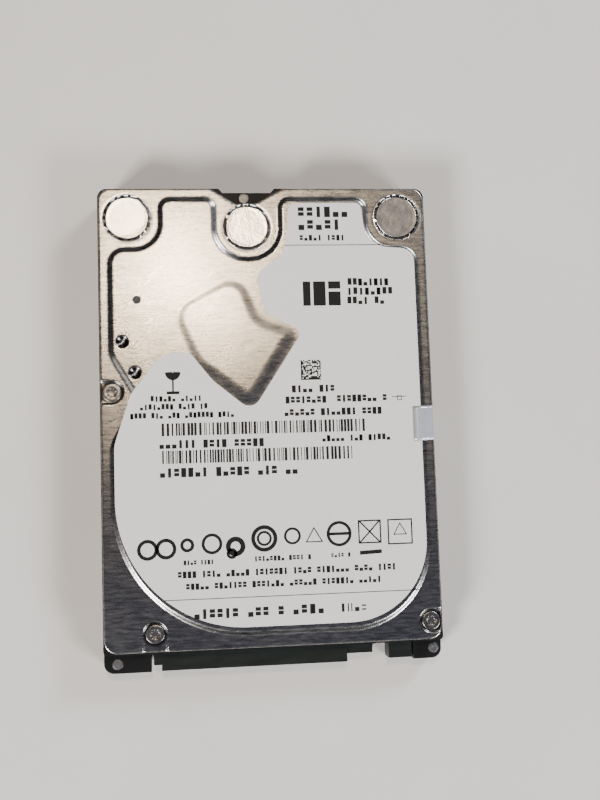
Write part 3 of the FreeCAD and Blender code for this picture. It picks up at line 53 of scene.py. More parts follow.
def makePiece(name, points, faces, material, body="base", replaced=(), flat=None, smooth=True):
    # A piece from points in millimetres; flat is an optional map of the points onto its own UV plane.
    mesh = bpy.data.meshes.new(name)
    mesh.from_pydata((np.asarray(points, float) * mm).tolist(), [], np.asarray(faces).tolist())
    mesh.validate()
    mesh.polygons.foreach_set("use_smooth", np.full(len(mesh.polygons), smooth))
    if flat is not None:
        layer = mesh.uv_layers.new(name="surface")
        corners = np.zeros(len(mesh.loops), np.int32)
        mesh.loops.foreach_get("vertex_index", corners)
        layer.data.foreach_set("uv", (np.asarray(flat, float) * mm)[corners].ravel())
    mesh.materials.append(material)
    piece = bpy.data.objects.new(name, mesh)
    bpy.context.scene.collection.objects.link(piece)
    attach(piece, body)
    if replaced:
        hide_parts(*replaced)
    return piece


def gridFaces(rows, columns, closed=True):
    # Quads between the rows of a grid; closed joins the last column to the first.
    across = columns if closed else columns - 1
    row, column = np.meshgrid(np.arange(rows - 1), np.arange(across), indexing="ij")
    after = (column + 1) % columns
    return np.stack([row * columns + column, row * columns + after,
                     (row + 1) * columns + after, (row + 1) * columns + column], -1).reshape(-1, 4)


def lathe(profile, centre, around=48):
    # Turned surface: each (radius, height) of the profile goes round a vertical axis through the centre.
    profile = np.asarray(profile, float)
    angle = np.arange(around) * 2 * np.pi / around
    points = np.stack([centre[0] + profile[:, :1] * np.cos(angle), centre[1] + profile[:, :1] * np.sin(angle),
                       np.repeat(profile[:, 1:], around, 1)], -1).reshape(-1, 3)
    return points, gridFaces(len(profile), around)


def joinedShapes(shapes):
    # Several (points, faces) made into one; all their faces have the same number of corners.
    counts = np.cumsum([0] + [len(points) for points, faces in shapes[:-1]])
    return (np.concatenate([points for points, faces in shapes]),
            np.concatenate([faces + start for start, (points, faces) in zip(counts, shapes)]))


def boxes(lows, highs):
    # Closed boxes between rows of lowest and highest corners.
    lows, highs = np.asarray(lows, float), np.asarray(highs, float)
    pick = np.array([[0, 0, 0], [1, 0, 0], [1, 1, 0], [0, 1, 0], [0, 0, 1], [1, 0, 1], [1, 1, 1], [0, 1, 1]])
    points = np.where(pick[None] == 1, highs[:, None], lows[:, None]).reshape(-1, 3)
    sides = np.array([[0, 3, 2, 1], [4, 5, 6, 7], [0, 1, 5, 4], [1, 2, 6, 5], [2, 3, 7, 6], [3, 0, 4, 7]])
    return points, (np.arange(len(lows))[:, None, None] * 8 + sides[None]).reshape(-1, 4)


def roundedOutline(corners, step=0.5):
    # Closed line through (x, y, radius) corners: straight runs and tangent arcs, sampled about every step.
    corners = [(np.array(corner[:2], float), corner[2]) for corner in corners]
    line = []
    for k, (spot, radius) in enumerate(corners):
        before, after = corners[k - 1][0] - spot, corners[(k + 1) % len(corners)][0] - spot
        before, after = before / np.linalg.norm(before), after / np.linalg.norm(after)
        half = math.acos(np.clip(before @ after, -1, 1)) / 2
        reach = radius / math.tan(half)
        middle = spot + (before + after) / np.linalg.norm(before + after) * radius / math.sin(half)
        start, end = spot + before * reach - middle, spot + after * reach - middle
        sweep = math.pi - 2 * half
        count = max(3, int(radius * sweep / step) + 2)
        share = np.linspace(0, 1, count)[:, None]
        arc = start * np.sin((1 - share) * sweep) + end * np.sin(share * sweep)
        line.append(middle + arc / math.sin(sweep))
    line = np.concatenate(line)
    gap = np.linalg.norm(np.roll(line, -1, 0) - line, axis=1)
    walked = np.concatenate([[0], np.cumsum(gap)])
    wanted = np.arange(0, walked[-1], walked[-1] / int(walked[-1] / step))
    closed = np.vstack([line, line[:1]])
    return np.stack([np.interp(wanted, walked, closed[:, axis]) for axis in (0, 1)], -1)


def sidestep(line, inwards):
    # A closed anticlockwise line moved inwards along its own normals.
    along = np.roll(line, -1, 0) - np.roll(line, 1, 0)
    along /= np.linalg.norm(along, axis=1)[:, None]
    return line + np.stack([-along[:, 1], along[:, 0]], -1) * inwards


def anticlockwise(line):
    area = np.sum(line[:, 0] * np.roll(line[:, 1], -1) - np.roll(line[:, 0], -1) * line[:, 1])
    return line if area > 0 else line[::-1]


def depthInside(points, line):
    # Distance of each point to a closed line, positive inside it.
    first, along = line[None], (np.roll(line, -1, 0) - line)[None]
    best, wound = np.full(len(points), 1e9), np.zeros(len(points), bool)
    for part in range(0, len(points), 2000):
        spot = points[part:part + 2000, None]
        share = np.clip(((spot - first) * along).sum(-1) / (along ** 2).sum(-1), 0, 1)
        best[part:part + 2000] = np.linalg.norm(spot - first - share[..., None] * along, axis=-1).min(1)
        low, high = first[..., 1], first[..., 1] + along[..., 1]
        crosses = (low > spot[..., 1]) != (high > spot[..., 1])
        rise = np.where(crosses, high - low, 1)
        reach = first[..., 0] + (spot[..., 1] - low) / rise * along[..., 0]
        wound[part:part + 2000] = (crosses & (spot[..., 0] < reach)).sum(1) % 2 == 1
    return np.where(wound, best, -best)


def softStep(amount):
    amount = np.clip(amount, 0, 1)
    return amount * amount * (3 - 2 * amount)


def ringOf(x, y, radius, count):
    angle = np.arange(count) * 2 * np.pi / count
    return np.stack([x + radius * np.cos(angle), y + radius * np.sin(angle)], -1)


class Finish:
    # A node material under construction. Patterns read the piece's object coordinates, in metres.
    def __init__(self, name, colour, roughness, metallic=0.0, **sockets):
        self.material = bpy.data.materials.new(name)
        self.material.use_nodes = True
        self.tree = self.material.node_tree
        self.shader = self.tree.nodes["Principled BSDF"]
        self.shader.inputs["Base Color"].default_value = (*colour, 1)
        self.shader.inputs["Roughness"].default_value = roughness
        self.shader.inputs["Metallic"].default_value = metallic
        for socket, value in sockets.items():
            self.shader.inputs[socket.replace("_", " ")].default_value = value
        self.place = self.node("ShaderNodeTexCoord").outputs["Object"]
        self.bump = None

    def node(self, kind, settings=None, **links):
        made = self.tree.nodes.new(kind)
        for key, value in (settings or {}).items():
            setattr(made, key, value)
        for socket, value in links.items():
            self.put(made.inputs[int(socket[1:]) if socket[0] == "n" and socket[1:].isdigit()
                                 else socket.replace("_", " ")], value)
        return made

    def put(self, socket, value):
        if isinstance(value, bpy.types.NodeSocket):
            self.tree.links.new(value, socket)
        else:
            socket.default_value = value

    def spots(self, stretch=(1, 1, 1), centre=(0, 0, 0), turn=0.0):
        # Object coordinates, moved to the centre and stretched per axis.
        made = self.node("ShaderNodeMapping", {"vector_type": "TEXTURE"}, Vector=self.place)
        made.inputs["Location"].default_value = centre
        made.inputs["Rotation"].default_value = (0, 0, turn)
        made.inputs["Scale"].default_value = stretch
        return made.outputs[0]

    def noise(self, size, stretch=(1, 1, 1), detail=3.0, rough=0.55, centre=(0, 0, 0), turn=0.0):
        # Noise whose features are about size millimetres across, times the stretch.
        return self.node("ShaderNodeTexNoise", Vector=self.spots(stretch, centre, turn),
                         Scale=1 / (size * mm), Detail=detail, Roughness=rough).outputs["Fac"]

    def cells(self, size, feature="F1", stretch=(1, 1, 1)):
        return self.node("ShaderNodeTexVoronoi", {"feature": feature}, Vector=self.spots(stretch),
                         Scale=1 / (size * mm)).outputs["Distance"]

    def distance(self, x, y, z):
        # Distance in millimetres from a point given in millimetres.
        spot = (x * mm, y * mm, z * mm)
        away = self.node("ShaderNodeVectorMath", {"operation": "DISTANCE"}, n0=self.place, n1=spot)
        return self.added(away.outputs["Value"], 1 / mm, "MULTIPLY")

    def waves(self, size, direction="X", kind="BANDS", distortion=0.0, centre=(0, 0, 0)):
        # Even lines, one every size millimetres.
        settings = {"wave_type": kind, "wave_profile": "SIN"}
        settings["bands_direction" if kind == "BANDS" else "rings_direction"] = direction
        return self.node("ShaderNodeTexWave", settings, Vector=self.spots(centre=centre),
                         Scale=2 * math.pi / 20 / (size * mm), Distortion=distortion, Detail=1.0,
                         Detail_Scale=1.0).outputs["Fac"]

    def spread(self, value, low, high, start=0.0, end=1.0):
        return self.node("ShaderNodeMapRange", Value=value, From_Min=start, From_Max=end,
                         To_Min=low, To_Max=high).outputs["Result"]

    def mixed(self, factor, first, second):
        made = self.node("ShaderNodeMix", {"data_type": "RGBA"}, n0=factor)
        for number, colour in ((6, first), (7, second)):
            linked = isinstance(colour, bpy.types.NodeSocket)
            self.put(made.inputs[number], colour if linked else (*colour, 1))
        return made.outputs[2]

    def added(self, first, second, how="ADD"):
        return self.node("ShaderNodeMath", {"operation": how}, n0=first, n1=second).outputs[0]

    def colour(self, value):
        self.put(self.shader.inputs["Base Color"], value)
        return self

    def tint(self, factor, dark, light):
        return self.colour(self.mixed(factor, dark, light))

    def shine(self, factor, low, high):
        self.put(self.shader.inputs["Roughness"], self.spread(factor, low, high))
        return self

    def relief(self, height, depth):
        # Bump of the given depth in millimetres, on top of any relief already there.
        made = self.node("ShaderNodeBump", Height=height, Distance=depth * mm)
        if self.bump is not None:
            self.put(made.inputs["Normal"], self.bump)
        self.bump = made.outputs[0]
        self.put(self.shader.inputs["Normal"], self.bump)
        return self

    def softEdges(self, radius):
        # Edges that catch the light as if broken by a small radius, in millimetres.
        made = self.node("ShaderNodeBevel", {"samples": 6}, Radius=radius * mm)
        self.bump = made.outputs[0]
        self.put(self.shader.inputs["Normal"], self.bump)
        return self


def scaled(colour, share):
    # Each channel times the share, at most one.
    return tuple(min(1, channel * share) for channel in colour)


def brushedMetal(name, colour, roughness, along=(60, 1, 1), size=0.07, depth=0.002, wear=0.35):
    # Bare metal with fine scratches that run along the stretched axis and a cloudy handling haze.
    finish = Finish(name, colour, roughness, 1.0)
    grain = finish.noise(size, along, 4)
    haze = finish.noise(9, (1, 1, 1), 4)
    dark = scaled(colour, 1 - wear * 0.45)
    finish.tint(finish.added(grain, haze, "MULTIPLY"), dark, scaled(colour, 1.12))
    finish.shine(haze, roughness * 0.8, roughness * 1.25)
    return finish.relief(grain, depth)


def turnedMetal(name, colour, roughness, centre=(0, 0), pitch=0.12, depth=0.0015):
    # Lathe-turned metal: fine rings round the centre, with a faint mottling.
    finish = Finish(name, colour, roughness, 1.0)
    rings = finish.waves(pitch, "Z", "RINGS", 0.3, (centre[0] * mm, centre[1] * mm, 0))
    cloud = finish.noise(1.2)
    finish.tint(cloud, scaled(colour, 0.8), colour)
    finish.shine(cloud, roughness * 0.8, roughness * 1.3)
    return finish.relief(rings, depth)


def castMetal(name, colour, roughness, metallic=1.0, grit=0.18, depth=0.006):
    # Cast or tumbled surface: small pits over slow colour patches.
    finish = Finish(name, colour, roughness, metallic)
    grit = finish.noise(grit, detail=5)
    patch = finish.noise(3.5)
    finish.tint(patch, scaled(colour, 0.78), scaled(colour, 1.1))
    finish.shine(grit, roughness * 0.8, roughness * 1.2)
    return finish.relief(grit, depth)


def mouldedPlastic(name, colour, roughness, grit=0.06, depth=0.003):
    # Fine spark-eroded texture, with slight streaks of flow in the colour.
    finish = Finish(name, colour, roughness, 0.0)
    grit = finish.noise(grit, detail=2)
    flow = finish.noise(2.5, (1, 3, 1))
    finish.tint(flow, scaled(colour, 0.75), scaled(colour, 1.2))
    finish.shine(grit, roughness * 0.85, min(1, roughness * 1.2))
    return finish.relief(grit, depth)


def woundWire(name, colour, direction, pitch=0.11):
    # Enamelled copper wire laid side by side.
    finish = Finish(name, colour, 0.28, 1.0, Coat_Weight=0.6, Coat_Roughness=0.2)
    wires = finish.waves(pitch, direction, distortion=0.25)
    cloud = finish.noise(0.8)
    finish.tint(finish.added(wires, cloud, "MULTIPLY"), scaled(colour, 0.35), colour)
    finish.shine(cloud, 0.22, 0.42)
    return finish.relief(wires, 0.03)


def rubberFinish(name, colour):
    finish = Finish(name, colour, 0.75, 0.0, Sheen_Weight=0.1)
    grit = finish.noise(0.1, detail=4)
    finish.tint(finish.noise(1.5), scaled(colour, 0.6), scaled(colour, 1.6))
    finish.shine(grit, 0.6, 0.9)
    return finish.relief(grit, 0.006)


def feltFinish(name, colour, fibre=0.12):
    finish = Finish(name, colour, 0.95, 0.0, Sheen_Weight=0.5)
    across = finish.noise(fibre, (7, 1, 1), 4, turn=0.6)
    along = finish.noise(fibre, (1, 7, 1), 4, turn=0.3)
    both = finish.added(across, along, "MULTIPLY")
    finish.tint(finish.spread(both, 0, 1, 0.1, 0.45), scaled(colour, 0.55), colour)
    return finish.relief(both, 0.05)


view = {
    "place": (-0.01600, -0.01579, 0.21545),     # metres
    "right": (0.99394, -0.03342, 0.10472),
    "down": (-0.02287, -0.99469, -0.10038),
    "ahead": (0.10751, 0.09737, -0.98942),
    "lens": 45.0,                               # on a sensor 36 mm along the picture's long side
}

camera = bpy.data.objects.new("camera", bpy.data.cameras.new("camera"))
camera.data.lens, camera.data.sensor_width = view["lens"], 36.0
camera.data.clip_start = 0.005
up, back = -Vector(view["down"]), -Vector(view["ahead"])
turned = Matrix([view["right"], up, back]).transposed()
camera.matrix_world = Matrix.Translation(view["place"]) @ turned.to_4x4()
bpy.context.scene.collection.objects.link(camera)
bpy.context.scene.camera = camera


def areaLight(name, place, target, width, height, power, colour=(1, 1, 1)):
    lamp = bpy.data.lights.new(name, "AREA")
    lamp.shape, lamp.size, lamp.size_y = "RECTANGLE", width, height
    lamp.energy, lamp.color = power, colour
    holder = bpy.data.objects.new(name, lamp)
    aim = (Vector(target) - Vector(place)).to_track_quat("-Z", "Y")
    holder.matrix_world = Matrix.Translation(place) @ aim.to_matrix().to_4x4()
    bpy.context.scene.collection.objects.link(holder)


def studio():
    # Pale floor, one warm lamp that the upper left of the cover mirrors, and fill lights that it doesn't.
    areaLight("warmLamp", (-0.024, 0.128, 0.41), (-0.018, 0.035, 0), 0.035, 0.05, 0.56, (1.0, 0.78, 0.53))
    # The fill lights stand on the diagonals, so that the cover's straight walls stay dark.
    areaLight("nearLeft", (-0.74, -0.72, 0.62), (0, 0, 0), 0.30, 0.30, 19, (1.0, 0.97, 0.93))
    areaLight("nearRight", (0.80, -0.72, 0.55), (0, 0, 0), 0.40, 0.25, 13, (0.97, 0.98, 1.0))
    areaLight("farRight", (0.76, 0.80, 0.60), (0, 0, 0), 0.30, 0.30, 12, (0.90, 0.94, 1.0))
    world = bpy.data.worlds.new("studio")
    world.use_nodes = True
    tree = world.node_tree
    background = tree.nodes["Background"]
    background.inputs["Strength"].default_value = 0.20
    height = tree.nodes.new("ShaderNodeSeparateXYZ")
    ramp = tree.nodes.new("ShaderNodeValToRGB")      # a dark room low down, a cool grey ceiling above
    ramp.color_ramp.elements[0].position, ramp.color_ramp.elements[0].color = 0.25, (0.030, 0.032, 0.038, 1)
    ramp.color_ramp.elements[1].position, ramp.color_ramp.elements[1].color = 0.95, (0.12, 0.17, 0.36, 1)
    tree.links.new(tree.nodes.new("ShaderNodeTexCoord").outputs["Generated"], height.inputs[0])
    tree.links.new(height.outputs["Z"], ramp.inputs[0])
    tree.links.new(ramp.outputs[0], background.inputs["Color"])
    bpy.context.scene.world = world
    finish = Finish("paleFloor", (0.72, 0.70, 0.67), 0.55)
    cloud = finish.noise(60, detail=4)
    finish.tint(cloud, (0.66, 0.64, 0.61), (0.76, 0.74, 0.71)).relief(finish.noise(0.6, detail=4), 0.01)
    mesh = bpy.data.meshes.new("floor")
    reach = 1.5
    corners = [(-reach, -reach, 0), (reach, -reach, 0), (reach, reach, 0), (-reach, reach, 0)]
    mesh.from_pydata(corners, [], [(0, 1, 2, 3)])
    mesh.materials.append(finish.material)
    floor = bpy.data.objects.new("floor", mesh)
    bpy.context.scene.collection.objects.link(floor)


studio()
print("camera, lights and floor")


cover = {
    "flange": 8.6, "raised": 9.15, "kite": 9.49,        # heights of the three levels
    "side": 34.6, "near": -45.77, "far": 50.0, "round": 2.6,
    "wall": 1.2,                  # width of the sloped wall of the raised area, in plan
    "kiteWall": 3.5, "kiteSoft": 2.0,   # the kite's slopes are longest on the right
    "kiteReach": 1.0,             # how far its slope starts outside its line
    "kiteLeast": 0.25,            # share of its full rise at its lower left
    "edgeRoll": 0.35,             # rolled outer edge
    "sheet": 0.4,
    "seatDepth": 0.35, "seat": 2.05, "seatWall": 0.55,
    "sealRadius": 5.15, "sealRecess": 0.02, "sealWall": 0.35,
    "breather": (-26.9, 26.15, 0.85),
    "dimples": [(-30.0, 17.4), (-27.5, 10.9)], "dimpleRadius": 1.45, "dimpleDepth": 0.62,
    "dimpleFloor": 0.35,          # radius of each dimple's flat middle
    "nib": 0.45, "nibRise": 0.22,       # the small cone that stands in it
}
hiddenScrews = [(-28.625, 43.6), (-3.6, 41.6), (28.625, 43.6)]
# x, y and the way out of the seat
openScrews = [(-32.325, 7.0, (-1, 0)), (-24.425, -42.15, (0, -1)), (32.325, -42.0, (1, 0))]
pivot = (-11.0, 28.2)

coverEdge = anticlockwise(roundedOutline([
    (-cover["side"], cover["near"], cover["round"]), (cover["side"], cover["near"], cover["round"]),
    (cover["side"], cover["far"], cover["round"]), (4.4, cover["far"], 2.6), (-1.6, 46.65, 2.6),
    (-6.0, 46.65, 2.6), (-11.2, cover["far"], 2.6), (-cover["side"], cover["far"], cover["round"])], 0.45))
raisedEdge = anticlockwise(roundedOutline([
    (-32.9, -43.4, 27.4), (32.9, -43.4, 17.0), (32.9, 37.4, 3.6), (22.3, 37.4, 5.1), (22.3, 48.15, 2.6),
    (2.9, 48.15, 2.6), (2.9, 35.2, 6.2), (-9.95, 35.2, 6.2), (-9.95, 48.15, 2.4), (-22.3, 48.15, 2.6),
    (-22.3, 37.4, 5.1), (-32.9, 37.4, 3.6), (-32.9, 14.6, 5.0), (-27.7, 5.6, 3.0), (-32.9, -3.6, 7.0)], 0.45))
kiteEdge = anticlockwise(roundedOutline([
    (-5.9, 30.8, 3.6), (-1.9, 21.6, 5.0), (6.2, 18.8, 1.9), (-3.8, 3.0, 2.6), (-14.6, 12.6, 9.0),
    (-18.6, 23.6, 4.0)], 0.45))


def seatDistance(points, x, y, way):
    # Distance to a screw seat's centre line: a point under the screw that runs out to the cover's edge.
    out = np.maximum((points[:, 0] - x) * way[0] + (points[:, 1] - y) * way[1], 0)
    return np.hypot(points[:, 0] - x - out * way[0], points[:, 1] - y - out * way[1])


def coverHeight(points):
    # Top of the cover: flange, plus a sloped wall up to the raised area, plus the kite's longer slope, less
    # the seats and the dimples, each as a smooth step of its distance, less a quarter-round at the edge.
    raised = softStep(depthInside(points, raisedEdge) / cover["wall"])
    # the kite rises to the right
    lean = softStep(((points[:, 0] + 18) * 0.8 + (30 - points[:, 1]) * 0.6) / 26)
    width = cover["kiteWall"] - cover["kiteSoft"] * (1 - lean)
    kite = softStep((depthInside(points, kiteEdge) + cover["kiteReach"]) / width)
    share = cover["kiteLeast"] + (1 - cover["kiteLeast"]) * lean
    rise = (cover["kite"] - cover["raised"]) * share
    height = cover["flange"] + (cover["raised"] - cover["flange"]) * raised + rise * kite
    for x, y, way in openScrews:
        away = seatDistance(points, x, y, way)
        height -= cover["seatDepth"] * (1 - softStep((away - cover["seat"]) / cover["seatWall"]))
    slope = cover["dimpleRadius"] - cover["dimpleFloor"]
    for x, y in cover["dimples"]:
        away = np.hypot(points[:, 0] - x, points[:, 1] - y)
        height -= cover["dimpleDepth"] * (1 - softStep((away - cover["dimpleFloor"]) / slope))
        height += cover["nibRise"] * (1 - softStep(away / cover["nib"]))
    for x, y in hiddenScrews:
        away = np.hypot(points[:, 0] - x, points[:, 1] - y)
        height -= cover["sealRecess"] * (1 - softStep((away - cover["sealRadius"]) / cover["sealWall"]))
    roll = cover["edgeRoll"]
    short = 1 - np.clip(depthInside(points, coverEdge) / roll, 0, 1)
    return height - roll * (1 - np.sqrt(1 - short ** 2)) * 0.8


def coverShell():
    # Points lie on lines offset from every edge of the pressing and on a loose grid between them, are joined
    # into triangles in plan, and are lifted to the cover's height; a rim and an underside close the sheet.
    x, y, radius = cover["breather"]
    hole = ringOf(x, y, radius, 28)
    lines = [sidestep(coverEdge, step) for step in (0, 0.03, 0.08, 0.16, 0.26, 0.36, 0.6)]
    wallSteps = (-0.25, 0, 0.12, 0.25, 0.38, 0.5, 0.62, 0.75, 0.88, 1, 1.25)      # as shares of the wall
    lines += [sidestep(raisedEdge, step * cover["wall"]) for step in wallSteps]
    lines += [sidestep(kiteEdge, step * cover["kiteWall"] - cover["kiteReach"])
              for step in np.linspace(-0.06, 1.06, 18)]
    dimpleRings = (0.12, 0.25, 0.4, 0.55, 0.75, 0.95, 1.15, 1.35, 1.5, 1.7)
    lines += [ringOf(px, py, r, 40) for px, py in cover["dimples"] for r in dimpleRings]
    lines += [ringOf(px, py, r, 72) for px, py in hiddenScrews for r in (5.0, 5.15, 5.22, 5.3, 5.4, 5.5, 5.7)]
    lines += [ringOf(x, y, r, 28) for r in (radius, radius + 0.06, radius + 0.3)]
    for px, py, way in openScrews:
        across = np.array([-way[1], way[0]])
        along = np.arange(0, 9, 0.4)[:, None]
        for r in (1.2, 2.0, 2.12, 2.25, 2.4, 2.5, 2.62, 2.8):
            angle = np.linspace(np.pi / 2, 3 * np.pi / 2, 26)[:, None]
            arc = np.array([px, py]) + r * (np.cos(angle) * np.array(way) + np.sin(angle) * across)
            lines += [arc, np.array([px, py]) + r * across + along * np.array(way),
                      np.array([px, py]) - r * across + along * np.array(way)]
    gridX, gridY = np.meshgrid(np.arange(-34, 34.5, 1.5), np.arange(-45, 50, 1.5))
    lines.append(np.stack([gridX.ravel(), gridY.ravel()], -1))
    spots = np.concatenate(lines)
    inside = depthInside(spots, coverEdge) > -1e-6
    inside[:len(coverEdge)] = True
    away = np.hypot(spots[:, 0] - x, spots[:, 1] - y) > radius - 1e-3
    spots = spots[inside & away]
    edgeCount, holeStart = len(coverEdge), len(spots)
    spots = np.vstack([spots, hole])
    ring = np.arange(edgeCount)
    bore = holeStart + np.arange(len(hole))
    fences = np.concatenate([np.stack([loop, np.roll(loop, -1)], -1) for loop in (ring, bore)])
    made = delaunay_2d_cdt([Vector(spot) for spot in spots.tolist()], fences.tolist(), [], 0, 1e-5)
    plan, faces = np.array([tuple(v) for v in made[0]]), np.array(made[2])
    middles = plan[faces].mean(1)
    keep = (depthInside(middles, coverEdge) > 0) & (depthInside(middles, hole) < 0)
    faces = faces[keep]
    area = np.cross(plan[faces[:, 1]] - plan[faces[:, 0]], plan[faces[:, 2]] - plan[faces[:, 0]])
    faces = np.where(area[:, None] < 0, faces[:, ::-1], faces)
    top = coverHeight(plan)
    count = len(plan)
    under = np.maximum(top - cover["sheet"], cover["flange"] - cover["sheet"] - cover["seatDepth"])
    # the links that only one triangle has make the rim
    ways = np.concatenate([faces[:, [0, 1]], faces[:, [1, 2]], faces[:, [2, 0]]])
    links = np.sort(ways, axis=1)
    where, times = np.unique(links, axis=0, return_inverse=True, return_counts=True)[1:]
    rim = ways[times[where.ravel()] == 1]
    walls = np.concatenate([np.stack([rim[:, 1], rim[:, 0], rim[:, 0] + count], -1),
                            np.stack([rim[:, 1], rim[:, 0] + count, rim[:, 1] + count], -1)])
    points = np.vstack([np.column_stack([plan, top]), np.column_stack([plan, under])])
    return points, np.concatenate([faces, faces[:, ::-1] + count, walls])


def coverFinish():
    # Stainless sheet, brushed across: short fine scratches over longer bands, a few stray nicks and smears.
    finish = Finish("brushedCover", (0.66, 0.645, 0.62), 0.26, 1.0, Anisotropic=0.3,
                    Coat_Weight=1.0, Coat_Roughness=0.15)
    fine = finish.noise(0.14, (8, 1, 1), 4, 0.7)
    band = finish.noise(0.5, (6, 1, 1), 4, 0.6)
    haze = finish.noise(14, (1, 1, 1), 4, 0.6)
    nick = finish.spread(finish.noise(0.5, (9, 1, 1), 2, 0.4, turn=0.7), 0, 1, 0.70, 0.78)
    streaks = finish.added(fine, band, "MULTIPLY")
    tone = finish.mixed(finish.spread(streaks, 0, 1, 0.12, 0.40), (0.22, 0.215, 0.21), (0.62, 0.605, 0.58))
    tone = finish.mixed(nick, tone, (0.85, 0.84, 0.82))
    for x, y in cover["dimples"]:        # painted shade: near black round each dimple, mid grey at its middle
        away = finish.distance(x, y, cover["raised"])
        tone = finish.mixed(finish.spread(away, 0, 1, 1.1, 1.6), (0.035, 0.034, 0.034), tone)
        tone = finish.mixed(finish.spread(away, 0, 1, 0.45, 0.75), (0.5, 0.49, 0.48), tone)
    # painted shade: near black in each screw seat, round the screw
    for x, y, way in openScrews:
        away = finish.distance(x, y, cover["flange"])
        tone = finish.mixed(finish.spread(away, 0, 1, 2.25, 2.75), (0.07, 0.068, 0.066), tone)
    finish.colour(tone)
    finish.put(finish.shader.inputs["Roughness"], finish.added(finish.spread(haze, 0.23, 0.31),
                                                               finish.spread(band, -0.04, 0.05)))
    finish.relief(fine, 0.012).relief(haze, 0.012)
    tangent = finish.node("ShaderNodeTangent", {"direction_type": "UV_MAP", "uv_map": "surface"})
    finish.put(finish.shader.inputs["Tangent"], tangent.outputs[0])
    return finish.material


shellPoints, shellFaces = coverShell()
makePiece("coverShell", shellPoints, shellFaces, coverFinish(), replaced=["top_cover"],
          flat=shellPoints[:, :2])
print("cover:", len(shellFaces), "faces")


foil = {"radius": 5.12, "low": 8.585, "thick": 0.07, "recess": 3.9, "recessDepth": 0.03}


def foilFinish():
    # Self-adhesive foil: a little cloudy, with faint creases and a pressed ring.
    finish = Finish("foil", (0.80, 0.79, 0.77), 0.34, 1.0)
    crease = finish.noise(2.2, detail=5, rough=0.65)
    fine = finish.noise(0.09, (4, 1, 1), 3)
    finish.tint(crease, (0.64, 0.63, 0.61), (0.88, 0.87, 0.85)).shine(crease, 0.20, 0.32)
    return finish.relief(crease, 0.05).relief(fine, 0.002).material


def foilSeals():
    # Each seal is turned: a thin disc with a rolled edge, sunk a little inside a ring over its screw.
    low, high, deep = foil["low"], foil["low"] + foil["thick"], foil["recessDepth"]
    edge, inner = foil["radius"], foil["recess"]
    profile = [(0.01, low), (edge - 0.02, low), (edge, low + 0.02), (edge - 0.015, high - 0.01),
               (edge - 0.05, high), (edge - 0.7, high), (inner + 0.6, high),
               (inner + 0.35, high - deep * 0.15), (inner + 0.1, high - deep * 0.5),
               (inner - 0.15, high - deep * 0.85), (inner - 0.4, high - deep), (1.5, high - deep),
               (0.01, high - deep)]
    return joinedShapes([lathe(profile, spot, 96) for spot in hiddenScrews])


points, faces = foilSeals()
makePiece("foilSealSet", points, faces, foilFinish(), replaced=["foil_seals"])

torx = {"head": 1.9, "height": 0.24, "lobe": 0.86, "depth": 0.2, "seatTop": 8.25, "shank": 0.9, "length": 3.6}


def torxHead(x, y):
    # Head turned with a domed edge. Inside it the rings go over into a six-lobed line, radius times
    # one plus a share of the cosine of six times the angle, which runs down to the socket's floor.
    low = torx["seatTop"] + 0.01
    top = low + torx["height"]
    floor = top - torx["depth"]
    around = 72
    angle = np.arange(around) * 2 * np.pi / around
    lobes = torx["lobe"] * (1 + 0.16 * np.cos(6 * angle))
    rings = [(0.01, low - torx["length"]), (torx["shank"] - 0.2, low - torx["length"]),
             (torx["shank"] - 0.05, low - torx["length"] + 0.2), (torx["shank"] - 0.05, low),
             (torx["head"] - 0.03, low), (torx["head"], low + 0.05), (torx["head"], top - 0.11),
             (torx["head"] - 0.04, top - 0.06), (torx["head"] - 0.12, top - 0.02), (torx["head"] - 0.24, top),
             (torx["head"] - 0.55, top)]
    radii = [np.full(around, radius) for radius, height in rings]
    radii += [lobes * 1.08, lobes, lobes * 0.98, lobes * 0.9, lobes * 0.02]
    heights = [height for radius, height in rings] + [top, top - 0.03, floor, floor - 0.02, floor - 0.02]
    radii = np.array(radii)
    points = np.stack([x + radii * np.cos(angle), y + radii * np.sin(angle),
                       np.repeat(np.array(heights)[:, None], around, 1)], -1)
    return points.reshape(-1, 3), gridFaces(len(heights), around)


def screwFinish():
    finish = Finish("screwSteel", (0.40, 0.39, 0.38), 0.3, 1.0)
    cloud = finish.noise(0.7, detail=4)
    finish.tint(cloud, (0.13, 0.127, 0.124), (0.36, 0.352, 0.345)).shine(cloud, 0.24, 0.42)
    return finish.relief(finish.noise(0.12, detail=4), 0.006).material


points, faces = joinedShapes([torxHead(x, y) for x, y in hiddenScrews] +
                             [torxHead(x, y) for x, y, way in openScrews])
makePiece("coverScrewSet", points, faces, screwFinish(), replaced=["cover_screws"])

strip = {"near": -4.7, "far": 2.6, "inner": 30.2, "lean": 0.35, "thick": 0.055, "bottom": 5.6, "side": 34.83}


def stripSheet(track, across, share, raised):
    # The track carried across the strip. Its long edges lean by a share of the way.
    shape = np.zeros((len(track), len(across), 3))
    shape[..., 0] = track[:, :1]
    shape[..., 1] = strip["near"] + strip["lean"] * share + (strip["far"] - strip["near"]) * across
    shape[..., 2] = track[:, 1:] + raised
    return shape


